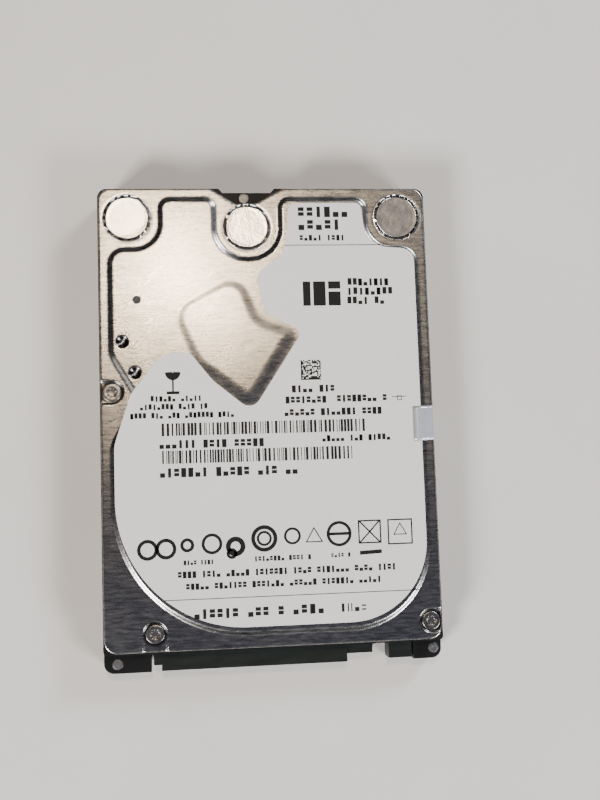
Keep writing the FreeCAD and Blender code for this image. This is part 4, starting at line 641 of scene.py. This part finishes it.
def sideSeal():
    # A band carried along the stepped line from the label, over the wall and flange and down the base's side.
    # The air under each step rounds the line off.
    side = strip["side"]
    line = np.array([(strip["inner"], 9.24), (31.4, 9.24), (32.0, 9.22), (32.5, 9.1), (33.2, 8.72),
                     (33.7, 8.64), (34.3, 8.61), (34.62, 8.5), (side, 8.2), (side, 7.4), (side, 6.4),
                     (side, strip["bottom"])])
    along = np.gradient(line, axis=0)
    along /= np.linalg.norm(along, axis=1)[:, None]
    outer = line + np.stack([-along[:, 1], along[:, 0]], -1) * strip["thick"]
    across = np.linspace(0, 1, 12)
    share = np.linspace(0, 1, len(line))[:, None]
    lift = 0.012 * np.sin(across * 17) * np.sin(share * 9)
    upper = stripSheet(outer, across, share, np.maximum(lift, 0))
    lower = stripSheet(line, across, share, lift * 0)
    loop = np.concatenate([upper, lower[:, ::-1]], axis=1)
    count = loop.shape[1]
    faces = gridFaces(len(line), count)
    half = np.arange(len(across) - 1)
    caps = [np.stack([start + half, start + half + 1, start + count - 2 - half, start + count - 1 - half], -1)
            for start in (0, (len(line) - 1) * count)]
    return loop.reshape(-1, 3), np.concatenate([faces[:, ::-1], caps[0], caps[1][:, ::-1]])


def sealFinish():
    # Silvery film, half clear, with a faint woven pattern of tiny lozenges.
    finish = Finish("sealFilm", (0.62, 0.64, 0.70), 0.32, 0.35, Coat_Weight=0.5, Coat_Roughness=0.15)
    cross = finish.added(finish.waves(0.5, "X"), finish.waves(0.5, "Y"), "MULTIPLY")
    cloud = finish.noise(1.6, detail=4)
    finish.tint(finish.added(cross, cloud, "MULTIPLY"), (0.50, 0.52, 0.58), (0.76, 0.78, 0.83))
    return finish.shine(cloud, 0.22, 0.42).relief(cloud, 0.03).material


points, faces = sideSeal()
makePiece("sideSealStrip", points, faces, sealFinish(), replaced=["side_seal"])
print("seals and screws")


label = {"low": 9.15, "high": 9.225, "ink": 0.008, "edge": 0.05}
labelEdge = anticlockwise(roundedOutline([
    (-31.95, -41.5, 26.4), (31.95, -41.5, 16.4), (31.95, 36.6, 3.0), (21.6, 37.2, 5.6), (20.9, 46.6, 1.4),
    (5.3, 46.6, 1.6), (4.2, 35.8, 3.2), (-2.2, 31.4, 3.0), (-0.4, 22.9, 4.0), (7.4, 19.0, 1.6),
    (-3.6, 2.4, 2.4), (-11.6, 9.0, 4.0), (-16.6, 15.4, 2.6), (-22.4, 14.4, 3.6), (-28.4, 6.6, 4.0),
    (-31.95, -4.0, 8.0)], 0.6))


def plateOf(line, profile):
    # A flat-topped plate: the outline is carried up a profile of (inset, height) and filled at both ends.
    rings = [np.column_stack([sidestep(line, inset), np.full(len(line), height)])
             for inset, height in profile]
    points = np.concatenate(rings)
    plan = delaunay_2d_cdt([Vector(spot[:2]) for spot in rings[-1].tolist()],
                           [(k, (k + 1) % len(line)) for k in range(len(line))], [], 1, 1e-5)
    fill = np.array(plan[2])
    spots = np.array([tuple(v) for v in plan[0]])
    area = np.cross(spots[fill[:, 1]] - spots[fill[:, 0]], spots[fill[:, 2]] - spots[fill[:, 0]])
    fill = np.where(area[:, None] < 0, fill[:, ::-1], fill)
    sides = gridFaces(len(profile), len(line))
    last = (len(profile) - 1) * len(line)
    walls = np.concatenate([sides[:, [0, 1, 2]], sides[:, [0, 2, 3]]])
    return points, np.concatenate([walls, fill + last, fill[:, ::-1]])


def labelFinish():
    # Coated paper: faint cloudiness, handling smudges, and a soft fibre relief.
    finish = Finish("labelPaper", (0.74, 0.735, 0.73), 0.42, 0.0, Coat_Weight=0.15, Coat_Roughness=0.35)
    smudge = finish.noise(7, detail=5, rough=0.6)
    fibre = finish.noise(0.16, (3, 1, 1), 4)
    finish.tint(smudge, (0.69, 0.685, 0.68), (0.79, 0.785, 0.775)).shine(smudge, 0.36, 0.5)
    return finish.relief(fibre, 0.003).relief(smudge, 0.015).material


labelProfile = [(0, label["low"]), (0, label["high"] - 0.03), (0.015, label["high"] - 0.01),
                (label["edge"], label["high"])]
points, faces = plateOf(labelEdge, labelProfile)
makePiece("labelSheet", points, faces, labelFinish(), replaced=["top_label"],
          flat=points[:, :2], smooth=False)

# Everything printed is made of plain bars and blocks that spell nothing.
printing = {
    "seed": 11,
    "lines": [   # left, base line, width, height, share of the height a stroke is wide
        (7.3, 43.5, 11.2, 2.3, 0.20), (7.3, 40.7, 9.4, 2.3, 0.20), (7.5, 38.4, 9.8, 1.25, 0.21),
        (17.4, 28.6, 9.0, 1.55, 0.27), (17.3, 26.6, 10.0, 1.55, 0.27),
        (17.2, 24.6, 8.2, 1.55, 0.27), (4.8, 6.1, 10.4, 1.5, 0.21), (3.4, 3.8, 8.8, 1.5, 0.21),
        (14.2, 3.9, 10.8, 1.5, 0.21), (3.1, 1.2, 21.8, 1.5, 0.21), (-24.4, 4.8, 10.6, 1.15, 0.28),
        (-26.6, 3.1, 14.0, 1.15, 0.28), (-28.6, 1.3, 21.4, 1.15, 0.28), (-22.8, -4.9, 23.0, 1.7, 0.20),
        (10.8, -4.3, 14.6, 1.3, 0.27), (-22.8, -10.8, 28.6, 1.9, 0.20), (-18.4, -28.6, 6.2, 0.95, 0.2),
        (-4.0, -28.4, 11.8, 1.05, 0.2), (11.8, -28.2, 4.2, 0.9, 0.2), (-19.6, -31.2, 45.0, 1.35, 0.21),
        (-18.0, -33.6, 40.2, 1.3, 0.21), (-16.5, -39.5, 18.6, 2.0, 0.21), (3.6, -39.4, 8.6, 2.0, 0.21),
        (13.4, -39.3, 5.8, 1.7, 0.1)],
    "barcodes": [(-22.8, 19.9, -2.3, 0.3), (-22.8, 17.1, -8.0, -5.3)],      # left, right, bottom, top
    "matrix": (6.8, 8.7, 4.2, 16),                                          # left, bottom, side, cells
    "blocks": [(7.8, 24.4, 9.4, 29.6), (10.0, 24.4, 12.6, 29.6), (13.2, 24.4, 15.8, 27.4),
               (13.2, 28.0, 15.8, 29.6)],                                   # left, bottom, right, top
    "rules": [(3.9, 25.4, 37.45, 0.16), (-23.3, 30.1, -35.5, 0.16)],        # left, right, y, thickness
}
random = np.random.default_rng(printing["seed"])
inkHigh = label["high"] + label["ink"]


def textLine(left, base, width, height, weight):
    # Marks in place of words: along the line, each is a pair of dashes one above the other, a pair of upright
    # bars, a low block or a tall block, with a wider gap every few marks. None has the outline of a letter.
    pitch, stroke = height * 0.72, height * weight * 1.4
    count = int(width / pitch)
    kind = random.integers(0, 4, count)
    keep = ~np.isin(np.arange(count), np.cumsum(random.integers(4, 9, count)))
    wide = pitch * 0.76
    rows = []
    for number, x in zip(kind[keep], (left + np.arange(count) * width / count)[keep]):
        if number == 0:
            rows += [(x, base + height * level, x + wide, base + height * level + stroke * 1.3)
                     for level in (0.12, 0.58)]
        elif number == 1:
            rows += [(x + step, base, x + step + stroke, base + height) for step in (0, wide - stroke)]
        elif number == 2:
            rows.append((x, base, x + wide, base + height * 0.5))
        else:
            rows.append((x + wide * 0.2, base, x + wide * 0.8, base + height))
    return np.array(rows)


def barcode(left, right, bottom, top):
    # Bars one to three modules wide with gaps one to three modules wide, drawn at random.
    module = 0.17
    widths = random.integers(1, 4, int((right - left) / module))
    edges = left + np.cumsum(widths) * module
    edges = edges[edges < right]
    edges = edges[:len(edges) // 2 * 2].reshape(-1, 2)
    return np.column_stack([edges[:, 0], np.full(len(edges), bottom), edges[:, 1], np.full(len(edges), top)])


def cellSquare(left, bottom, side, cells):
    # A square of cells filled at random inside two plain edges.
    pitch = side / cells
    column, row = np.meshgrid(np.arange(cells), np.arange(cells))
    dark = (random.random((cells, cells)) < 0.5) | (column == 0) | (row == 0)
    x, y = left + column[dark] * pitch, bottom + row[dark] * pitch
    return np.column_stack([x, y, x + pitch * 1.01, y + pitch * 1.01])


def inkFinish():
    finish = Finish("ink", (0.010, 0.010, 0.010), 0.6, 0.0, Specular_IOR_Level=0.15)
    speck = finish.noise(0.25, detail=4)
    return finish.tint(speck, (0.006, 0.006, 0.006), (0.016, 0.016, 0.016)).shine(speck, 0.5, 0.7).material


def band(track, width, closed=True):
    # A flat printed line of the width along a track of points, as a closed low box section.
    track = np.asarray(track, float)
    if closed:
        along = np.roll(track, -1, 0) - np.roll(track, 1, 0)
    else:
        along = np.gradient(track, axis=0)
    along /= np.linalg.norm(along, axis=1)[:, None]
    side = np.stack([-along[:, 1], along[:, 0]], -1) * width / 2
    low, high = label["high"] - 0.005, inkHigh
    rows = [np.column_stack([track + sign * side, np.full(len(track), height)])
            for sign, height in ((1, low), (1, high), (-1, high), (-1, low))]
    points = np.stack(rows, 1)
    faces = gridFaces(len(track), 4)
    if closed:
        last = (len(track) - 1) * 4 + np.arange(4)
        first = np.arange(4)
        faces = np.concatenate([faces, np.stack([last, np.roll(last, -1), np.roll(first, -1), first], -1)])
    else:
        end = (len(track) - 1) * 4
        faces = np.concatenate([faces, [[3, 2, 1, 0], [end, end + 1, end + 2, end + 3]]])
    return points.reshape(-1, 3), faces


def polygon(x, y, reach, corners, turn=90):
    angle = np.radians(turn) + np.arange(corners) * 2 * np.pi / corners
    return np.stack([x + reach * np.cos(angle), y + reach * np.sin(angle)], -1)


def marks():
    # A row of plain signs: rings, a triangle, a crossed frame and a boxed triangle, none of a known scheme.
    shapes = [band(ringOf(-25.6, -25.3, 1.75, 36), 0.72), band(ringOf(-21.9, -25.2, 1.75, 36), 0.72)]
    shapes += [band(ringOf(-17.6, -24.6, 1.1, 30), 0.65), band(ringOf(-12.6, -24.5, 1.8, 36), 0.62)]
    shapes += [band(ringOf(-7.8, -25.2, 1.5, 36), 1.0), band(ringOf(-8.6, -26.6, 0.8, 30), 0.6)]
    shapes += [band(ringOf(-1.9, -23.8, 2.3, 48), 0.8), band(ringOf(-1.9, -23.8, 1.3, 36), 0.5)]
    shapes += [band(ringOf(3.9, -23.5, 1.5, 36), 0.5), band(polygon(8.4, -23.9, 1.9, 3), 0.45)]
    shapes += [band(ringOf(13.6, -23.4, 2.3, 48), 0.62), band([(11.5, -23.4), (15.7, -23.4)], 0.6, False)]
    shapes += [band(polygon(20.0, -23.2, 3.2, 4, 45), 0.42), band([(17.9, -25.4), (22.1, -21.0)], 0.3, False)]
    shapes.append(band([(17.9, -21.0), (22.1, -25.4)], 0.3, False))
    shapes.append(band([(17.8, -27.5), (22.4, -27.3)], 0.8, False))
    shapes += [band(polygon(26.4, -23.4, 3.5, 4, 45), 0.42), band(polygon(26.4, -23.2, 1.5, 3), 0.4)]
    shapes += [band(polygon(27.5, 4.5, 0.6, 4, 45), 0.2), band([(25.9, 4.8), (29.0, 4.8)], 0.15, False)]
    # a bowl, its stem and its foot, above the three small lines at the left
    angle = np.linspace(np.pi, 2 * np.pi, 24)
    bowl = np.stack([-19.8 + 0.85 * np.cos(angle), 10.9 + 0.95 * np.sin(angle)], -1)
    shapes += [band(bowl, 1.5, False), band([(-19.8, 9.4), (-19.8, 6.9)], 0.35, False)]
    shapes.append(band([(-21.1, 6.6), (-18.5, 6.6)], 0.6, False))
    return shapes


rows = [textLine(*line) for line in printing["lines"]]
rows += [barcode(*code) for code in printing["barcodes"]]
rows += [cellSquare(*printing["matrix"]), np.array(printing["blocks"])]
rules = [(left, y - thick / 2, right, y + thick / 2) for left, right, y, thick in printing["rules"]]
rows.append(np.array(rules))
rows = np.concatenate(rows)
low, high = np.full(len(rows), label["high"] - 0.005), np.full(len(rows), inkHigh)
bars = boxes(np.column_stack([rows[:, 0], rows[:, 1], low]), np.column_stack([rows[:, 2], rows[:, 3], high]))
points, faces = joinedShapes([bars] + marks())
makePiece("labelPrint", points, faces, inkFinish(), smooth=False)
print("label:", len(faces), "printed faces")


padSpots = {
    "places": [(-32.2, -48.3), (33.3, -48.0), (-3.9, 48.9)],
    "radius": 1.05, "low": 4.99, "high": 5.03,
}


def basePads():
    # Bright spots where the coat is left off: turned discs with a shallow centre mark.
    reach, low, high = padSpots["radius"], padSpots["low"], padSpots["high"]
    profile = [(0.01, low), (reach, low), (reach, high - 0.01), (reach - 0.03, high), (0.4, high),
               (0.25, high - 0.02), (0.01, high - 0.02)]
    return joinedShapes([lathe(profile, spot, 40) for spot in padSpots["places"]])


points, faces = basePads()
bareMetal = turnedMetal("bareAluminium", (0.26, 0.26, 0.27), 0.4).material
makePiece("barePads", points, faces, bareMetal)


def paintedCasting():
    # Black electro-coat over a die casting: satin, a little orange peel, slow patches of tone, worn edges.
    finish = Finish("blackCoat", (0.006, 0.006, 0.007), 0.45, 0.0, Specular_IOR_Level=0.22)
    finish.softEdges(0.22)
    peel = finish.noise(0.45, detail=3)
    grit = finish.noise(0.08, detail=3)
    patch = finish.noise(5, detail=4)
    finish.tint(patch, (0.004, 0.004, 0.005), (0.010, 0.010, 0.011)).shine(patch, 0.38, 0.55)
    return finish.relief(peel, 0.012).relief(grit, 0.004).material


def connectorPlastic():
    # Glass-filled plastic, slightly green, with flow marks from the gate and sharp edges broken.
    finish = Finish("connectorPlastic", (0.010, 0.013, 0.012), 0.45, 0.0, Specular_IOR_Level=0.25)
    finish.softEdges(0.08)
    flow = finish.noise(1.6, (4, 1, 1), 4)
    grit = finish.noise(0.05, detail=3)
    finish.tint(flow, (0.006, 0.008, 0.0075), (0.016, 0.021, 0.019)).shine(flow, 0.36, 0.55)
    return finish.relief(grit, 0.004).relief(flow, 0.015).material


def goldPlate():
    finish = Finish("goldContacts", (0.86, 0.62, 0.26), 0.22, 1.0)
    wipe = finish.noise(0.12, (1, 12, 1), 4)
    finish.tint(wipe, (0.66, 0.44, 0.16), (0.95, 0.72, 0.34)).shine(wipe, 0.14, 0.34)
    return finish.relief(wipe, 0.003).material


def boardFinish():
    # Solder mask over copper: traces in two directions that show as slightly lighter, raised lines.
    finish = Finish("solderMask", (0.010, 0.060, 0.038), 0.24, 0.0, Coat_Weight=0.5, Coat_Roughness=0.12)
    zone = finish.spread(finish.noise(6.5, (1, 1, 1), 1), 0, 1, 0.48, 0.52)
    across = finish.spread(finish.waves(0.62, "X", distortion=1.4), 0, 1, 0.52, 0.62)
    along = finish.spread(finish.waves(0.62, "Y", distortion=1.4), 0, 1, 0.52, 0.62)
    first = finish.added(across, zone, "MULTIPLY")
    second = finish.added(along, finish.added(1.0, zone, "SUBTRACT"), "MULTIPLY")
    traces = finish.added(first, second)
    weave = finish.noise(0.5, (1, 1, 1), 2)
    finish.colour(finish.mixed(traces, (0.008, 0.046, 0.030), (0.018, 0.105, 0.062)))
    finish.shine(weave, 0.18, 0.32)
    return finish.relief(traces, 0.02).relief(weave, 0.006).material


board = {
    "low": 0.3, "pad": 0.018, "trace": 0.012, "line": 0.16,
    # rows of pads: first x and y, columns, lines, pitch, radius
    "groups": [(-22.5, -38.6, 7, 3, 1.6, 0.42), (8.0, -37.5, 9, 2, 1.5, 0.42), (-21.5, 3.5, 6, 3, 1.7, 0.45),
               (4.0, 16.0, 8, 5, 1.9, 0.42), (14.5, 27.4, 5, 3, 1.5, 0.36), (19.6, -20, 3, 9, 1.5, 0.34)],
    # printed frames: left, bottom, width, height
    "frames": [(-23.6, -39.8, 12.2, 5.4), (6.8, -38.6, 14.4, 3.6), (-22.7, 2.3, 11.0, 5.9),
               (2.6, 14.6, 16.2, 10.6), (13.3, 26.4, 8.6, 5.2), (18.4, -21.2, 5.4, 14.6)],
}


def padProfile(radius, low, high):
    return [(0.005, low), (radius * 0.9, low), (radius, low + 0.005), (radius, high), (0.005, high)]


def boardDetail():
    # Bare pads and vias on the board's underside: rows of test pads, a ring of vias round the motor and
    # strips of soldered feet, each a low disc of eighteen sides.
    spots = []
    picks = np.random.default_rng(5)
    for x0, y0, columns, lines, pitch, radius in board["groups"]:
        column, line = np.meshgrid(np.arange(columns), np.arange(lines))
        keep = picks.random(column.shape) < 0.86
        spots += [(x0 + pitch * c, y0 + pitch * r, radius) for c, r in zip(column[keep], line[keep])]
    for k in range(64):
        angle, reach = k * 2.39996, 19.6 + 2.6 * picks.random()
        x, y = reach * math.cos(angle), -9.5 + reach * math.sin(angle)
        if abs(x) < 25.5:
            spots.append((x, y, 0.2))
    low, high = board["low"] - board["pad"], board["low"] + 0.01
    return joinedShapes([lathe(padProfile(radius, low, high), (x, y), 18) for x, y, radius in spots])


def boardMarks():
    # Printed outlines and dashes in white ink round the soldered groups; they spell nothing.
    rows = []
    line = board["line"]
    for x, y, wide, tall in board["frames"]:
        right, far = x + wide, y + tall
        rows += [(x, y, right, y + line), (x, far, right, far + line), (x, y, x + line, far),
                 (right, y, right + line, far + line), (x + 0.5, y - 0.9, x + 2.3, y - 0.45)]
    rows = np.array(rows)
    low, high = board["low"] - board["trace"], board["low"] + 0.01
    return boxes(np.column_stack([rows[:, :2], np.full(len(rows), low)]),
                 np.column_stack([rows[:, 2:], np.full(len(rows), high)]))


def tinned(name, colour):
    finish = Finish(name, colour, 0.26, 1.0)
    blob = finish.noise(0.4, detail=3)
    finish.tint(blob, scaled(colour, 0.7), colour).shine(blob, 0.18, 0.4)
    return finish.relief(blob, 0.01).material


def whiteInk():
    finish = Finish("boardInk", (0.72, 0.73, 0.70), 0.6)
    worn = finish.noise(0.3, detail=4)
    return finish.tint(worn, (0.5, 0.52, 0.49), (0.78, 0.79, 0.76)).shine(worn, 0.5, 0.7).material


points, faces = boardDetail()
makePiece("boardPads", points, faces, tinned("tinnedPads", (0.80, 0.74, 0.60)))
points, faces = boardMarks()
makePiece("boardPrint", points, faces, whiteInk(), smooth=False)
print("base pads and board detail")


spindle = (0.0, -9.5)


def platterFinish(name):
    # Polished carbon-coated disk: almost a mirror, with faint rings.
    finish = Finish(name, (0.80, 0.81, 0.84), 0.04, 1.0)
    rings = finish.waves(0.8, "Z", "RINGS", 0.1, (0, spindle[1] * mm, 0))
    film = finish.noise(8, detail=2)
    finish.tint(film, (0.74, 0.75, 0.80), (0.84, 0.845, 0.86)).shine(rings, 0.03, 0.07)
    return finish.relief(rings, 0.0003).material


def laminated():
    finish = Finish("statorIron", (0.24, 0.25, 0.27), 0.45, 0.9)
    sheets = finish.waves(0.2, "Z")
    cloud = finish.noise(0.9)
    finish.tint(cloud, (0.13, 0.14, 0.15), (0.30, 0.31, 0.33)).shine(cloud, 0.35, 0.6)
    return finish.relief(sheets, 0.02).material


def nickelPlate(name):
    finish = castMetal(name, (0.72, 0.70, 0.66), 0.24, grit=0.5, depth=0.004)
    return finish.relief(finish.noise(0.08), 0.002).material


def chipFinish(name):
    # Moulded package: fine sparkle of filler, roughness in patches.
    finish = mouldedPlastic(name, (0.022, 0.022, 0.024), 0.5, grit=0.04, depth=0.004)
    return finish.material


def ceramicParts():
    # Small parts: each block of ground gets its own tone, from tan to grey.
    finish = Finish("smallParts", (0.40, 0.30, 0.20), 0.35)
    tone = finish.node("ShaderNodeTexVoronoi", Vector=finish.spots(), Scale=1 / (1.9 * mm)).outputs["Color"]
    split = finish.node("ShaderNodeSeparateColor", Color=tone).outputs[0]
    grain = finish.noise(0.08, detail=3)
    finish.tint(split, (0.34, 0.24, 0.15), (0.52, 0.50, 0.47)).shine(grain, 0.28, 0.45)
    return finish.relief(grain, 0.004).material


def filmFinish():
    # Amber polyimide film with copper tracks showing through along its length.
    finish = Finish("flexFilm", (0.60, 0.30, 0.06), 0.25, 0.0, Coat_Weight=0.4, Coat_Roughness=0.1)
    tracks = finish.spread(finish.waves(0.28, "Z"), 0, 1, 0.45, 0.6)
    cloud = finish.noise(1.0)
    finish.colour(finish.mixed(tracks, (0.48, 0.22, 0.045), (0.80, 0.44, 0.12))).shine(cloud, 0.18, 0.35)
    return finish.relief(tracks, 0.015).material


def foamFinish():
    finish = Finish("blackFoam", (0.03, 0.03, 0.032), 0.95)
    pores = finish.cells(0.18)
    finish.tint(pores, (0.008, 0.008, 0.009), (0.055, 0.055, 0.058)).shine(pores, 0.85, 1.0)
    return finish.relief(pores, 0.06).material


screwLook = screwFinish()
steel = (0.66, 0.66, 0.67)
aluminium = (0.70, 0.70, 0.71)
looks = {
    "base_casting": paintedCasting(),
    "cover_gasket": rubberFinish("gasketRubber", (0.020, 0.020, 0.020)).material,
    "breather_filter": feltFinish("breatherCloth", (0.10, 0.10, 0.10), 0.08).material,
    "recirculation_filter": feltFinish("filterCloth", (0.84, 0.84, 0.80)).material,
    "desiccant": mouldedPlastic("desiccantCase", (0.70, 0.69, 0.64), 0.5).material,
    "lower_platter": platterFinish("lowerDisk"), "upper_platter": platterFinish("upperDisk"),
    "disk_spacer": turnedMetal("spacerRing", aluminium, 0.24, spindle).material,
    "spindle_hub": turnedMetal("hubMetal", aluminium, 0.22, spindle, 0.15).material,
    "spindle_shaft": turnedMetal("shaftSteel", steel, 0.12, spindle, 0.06).material,
    "bearing_sleeve": turnedMetal("sleeveBronze", (0.70, 0.46, 0.25), 0.3, spindle, 0.1).material,
    "thrust_plate": turnedMetal("thrustSteel", steel, 0.2, spindle, 0.1).material,
    "rotor_magnet": castMetal("rotorMagnet", (0.17, 0.17, 0.18), 0.5, 0.6, 0.1).material,
    "stator_core": laminated(),
    "stator_coils": woundWire("statorWire", (0.80, 0.40, 0.18), "Z", 0.1).material,
    "stator_shield": brushedMetal("shieldSteel", steel, 0.3).material,
    "disk_clamp": turnedMetal("clampSpring", steel, 0.26, spindle, 0.2).material,
    "clamp_screw": screwLook,
    "actuator_arm_block": castMetal("armAluminium", aluminium, 0.3, grit=0.1, depth=0.004).material,
    "voice_coil": woundWire("voiceCoilWire", (0.78, 0.38, 0.16), "X", 0.12).material,
    "coil_frame": mouldedPlastic("coilFrame", (0.05, 0.05, 0.055), 0.45).material,
    "suspensions": brushedMetal("suspensionSteel", steel, 0.22, (1, 40, 1), 0.05).material,
    "head_sliders": castMetal("sliderCeramic", (0.06, 0.06, 0.07), 0.2, 0.2, 0.05, 0.001).material,
    "preamp_chip": chipFinish("preampPackage"),
    "pivot_sleeve": turnedMetal("pivotSleeve", steel, 0.2, pivot).material,
    "pivot_shaft": turnedMetal("pivotShaft", steel, 0.16, pivot, 0.08).material,
    "pivot_balls": castMetal("ballSteel", (0.75, 0.75, 0.77), 0.08, grit=0.2, depth=0.0005).material,
    "yoke_bottom": nickelPlate("lowerYoke"), "yoke_top": nickelPlate("upperYoke"),
    "magnet_bottom": nickelPlate("lowerMagnet"), "magnet_top": nickelPlate("upperMagnet"),
    "yoke_posts": brushedMetal("postSteel", steel, 0.28, (1, 1, 30)).material,
    "crash_stops": rubberFinish("stopRubber", (0.035, 0.035, 0.037)).material,
    "latch_lever": mouldedPlastic("latchPlastic", (0.62, 0.60, 0.54), 0.4).material,
    "latch_pin": brushedMetal("latchPin", steel, 0.2, (1, 1, 30)).material,
    "load_ramp": mouldedPlastic("rampPlastic", (0.74, 0.71, 0.62), 0.32).material,
    "ramp_screw": screwLook, "board_screws": screwLook,
    "flex_bracket": castMetal("bracketMetal", aluminium, 0.34).material,
    "flex_cable": filmFinish(),
    "circuit_board": boardFinish(),
    "board_insulator": foamFinish(),
    "controller_chip": chipFinish("controllerPackage"), "memory_chip": chipFinish("memoryPackage"),
    "motor_driver_chip": chipFinish("driverPackage"), "flash_chip": chipFinish("flashPackage"),
    "small_components": ceramicParts(),
    "head_connector": mouldedPlastic("headConnector", (0.06, 0.055, 0.05), 0.4).material,
    "motor_connector": mouldedPlastic("motorConnector", (0.55, 0.53, 0.48), 0.4).material,
    "sata_housing": connectorPlastic(), "jumper_header": connectorPlastic(),
    "sata_contacts": goldPlate(), "jumper_pins": goldPlate(),
}
for name, look in looks.items():
    mesh = nodes[name].data
    mesh.materials.clear()
    mesh.materials.append(look)
print("finishes on", len(looks), "kept pieces")


def flexRibbon():
    # A copy of the ribbon with its doubles merged and its long edges cut into shorter ones.
    shape = bmesh.new()
    shape.from_mesh(nodes["flex_cable"].data)
    bmesh.ops.remove_doubles(shape, verts=shape.verts, dist=0.002 * mm)
    for step in range(4):
        long = [edge for edge in shape.edges if edge.calc_length() > 0.7 * mm]
        bmesh.ops.subdivide_edges(shape, edges=long, cuts=1)
    bmesh.ops.triangulate(shape, faces=shape.faces)
    mesh = bpy.data.meshes.new("flexRibbon")
    shape.to_mesh(mesh)
    shape.free()
    mesh.materials.clear()
    mesh.materials.append(looks["flex_cable"])
    piece = bpy.data.objects.new("flexRibbon", mesh)
    bpy.context.scene.collection.objects.link(piece)
    return piece


ribbon = flexRibbon()
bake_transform(ribbon)
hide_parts("flex_cable")

print("all pieces in place")
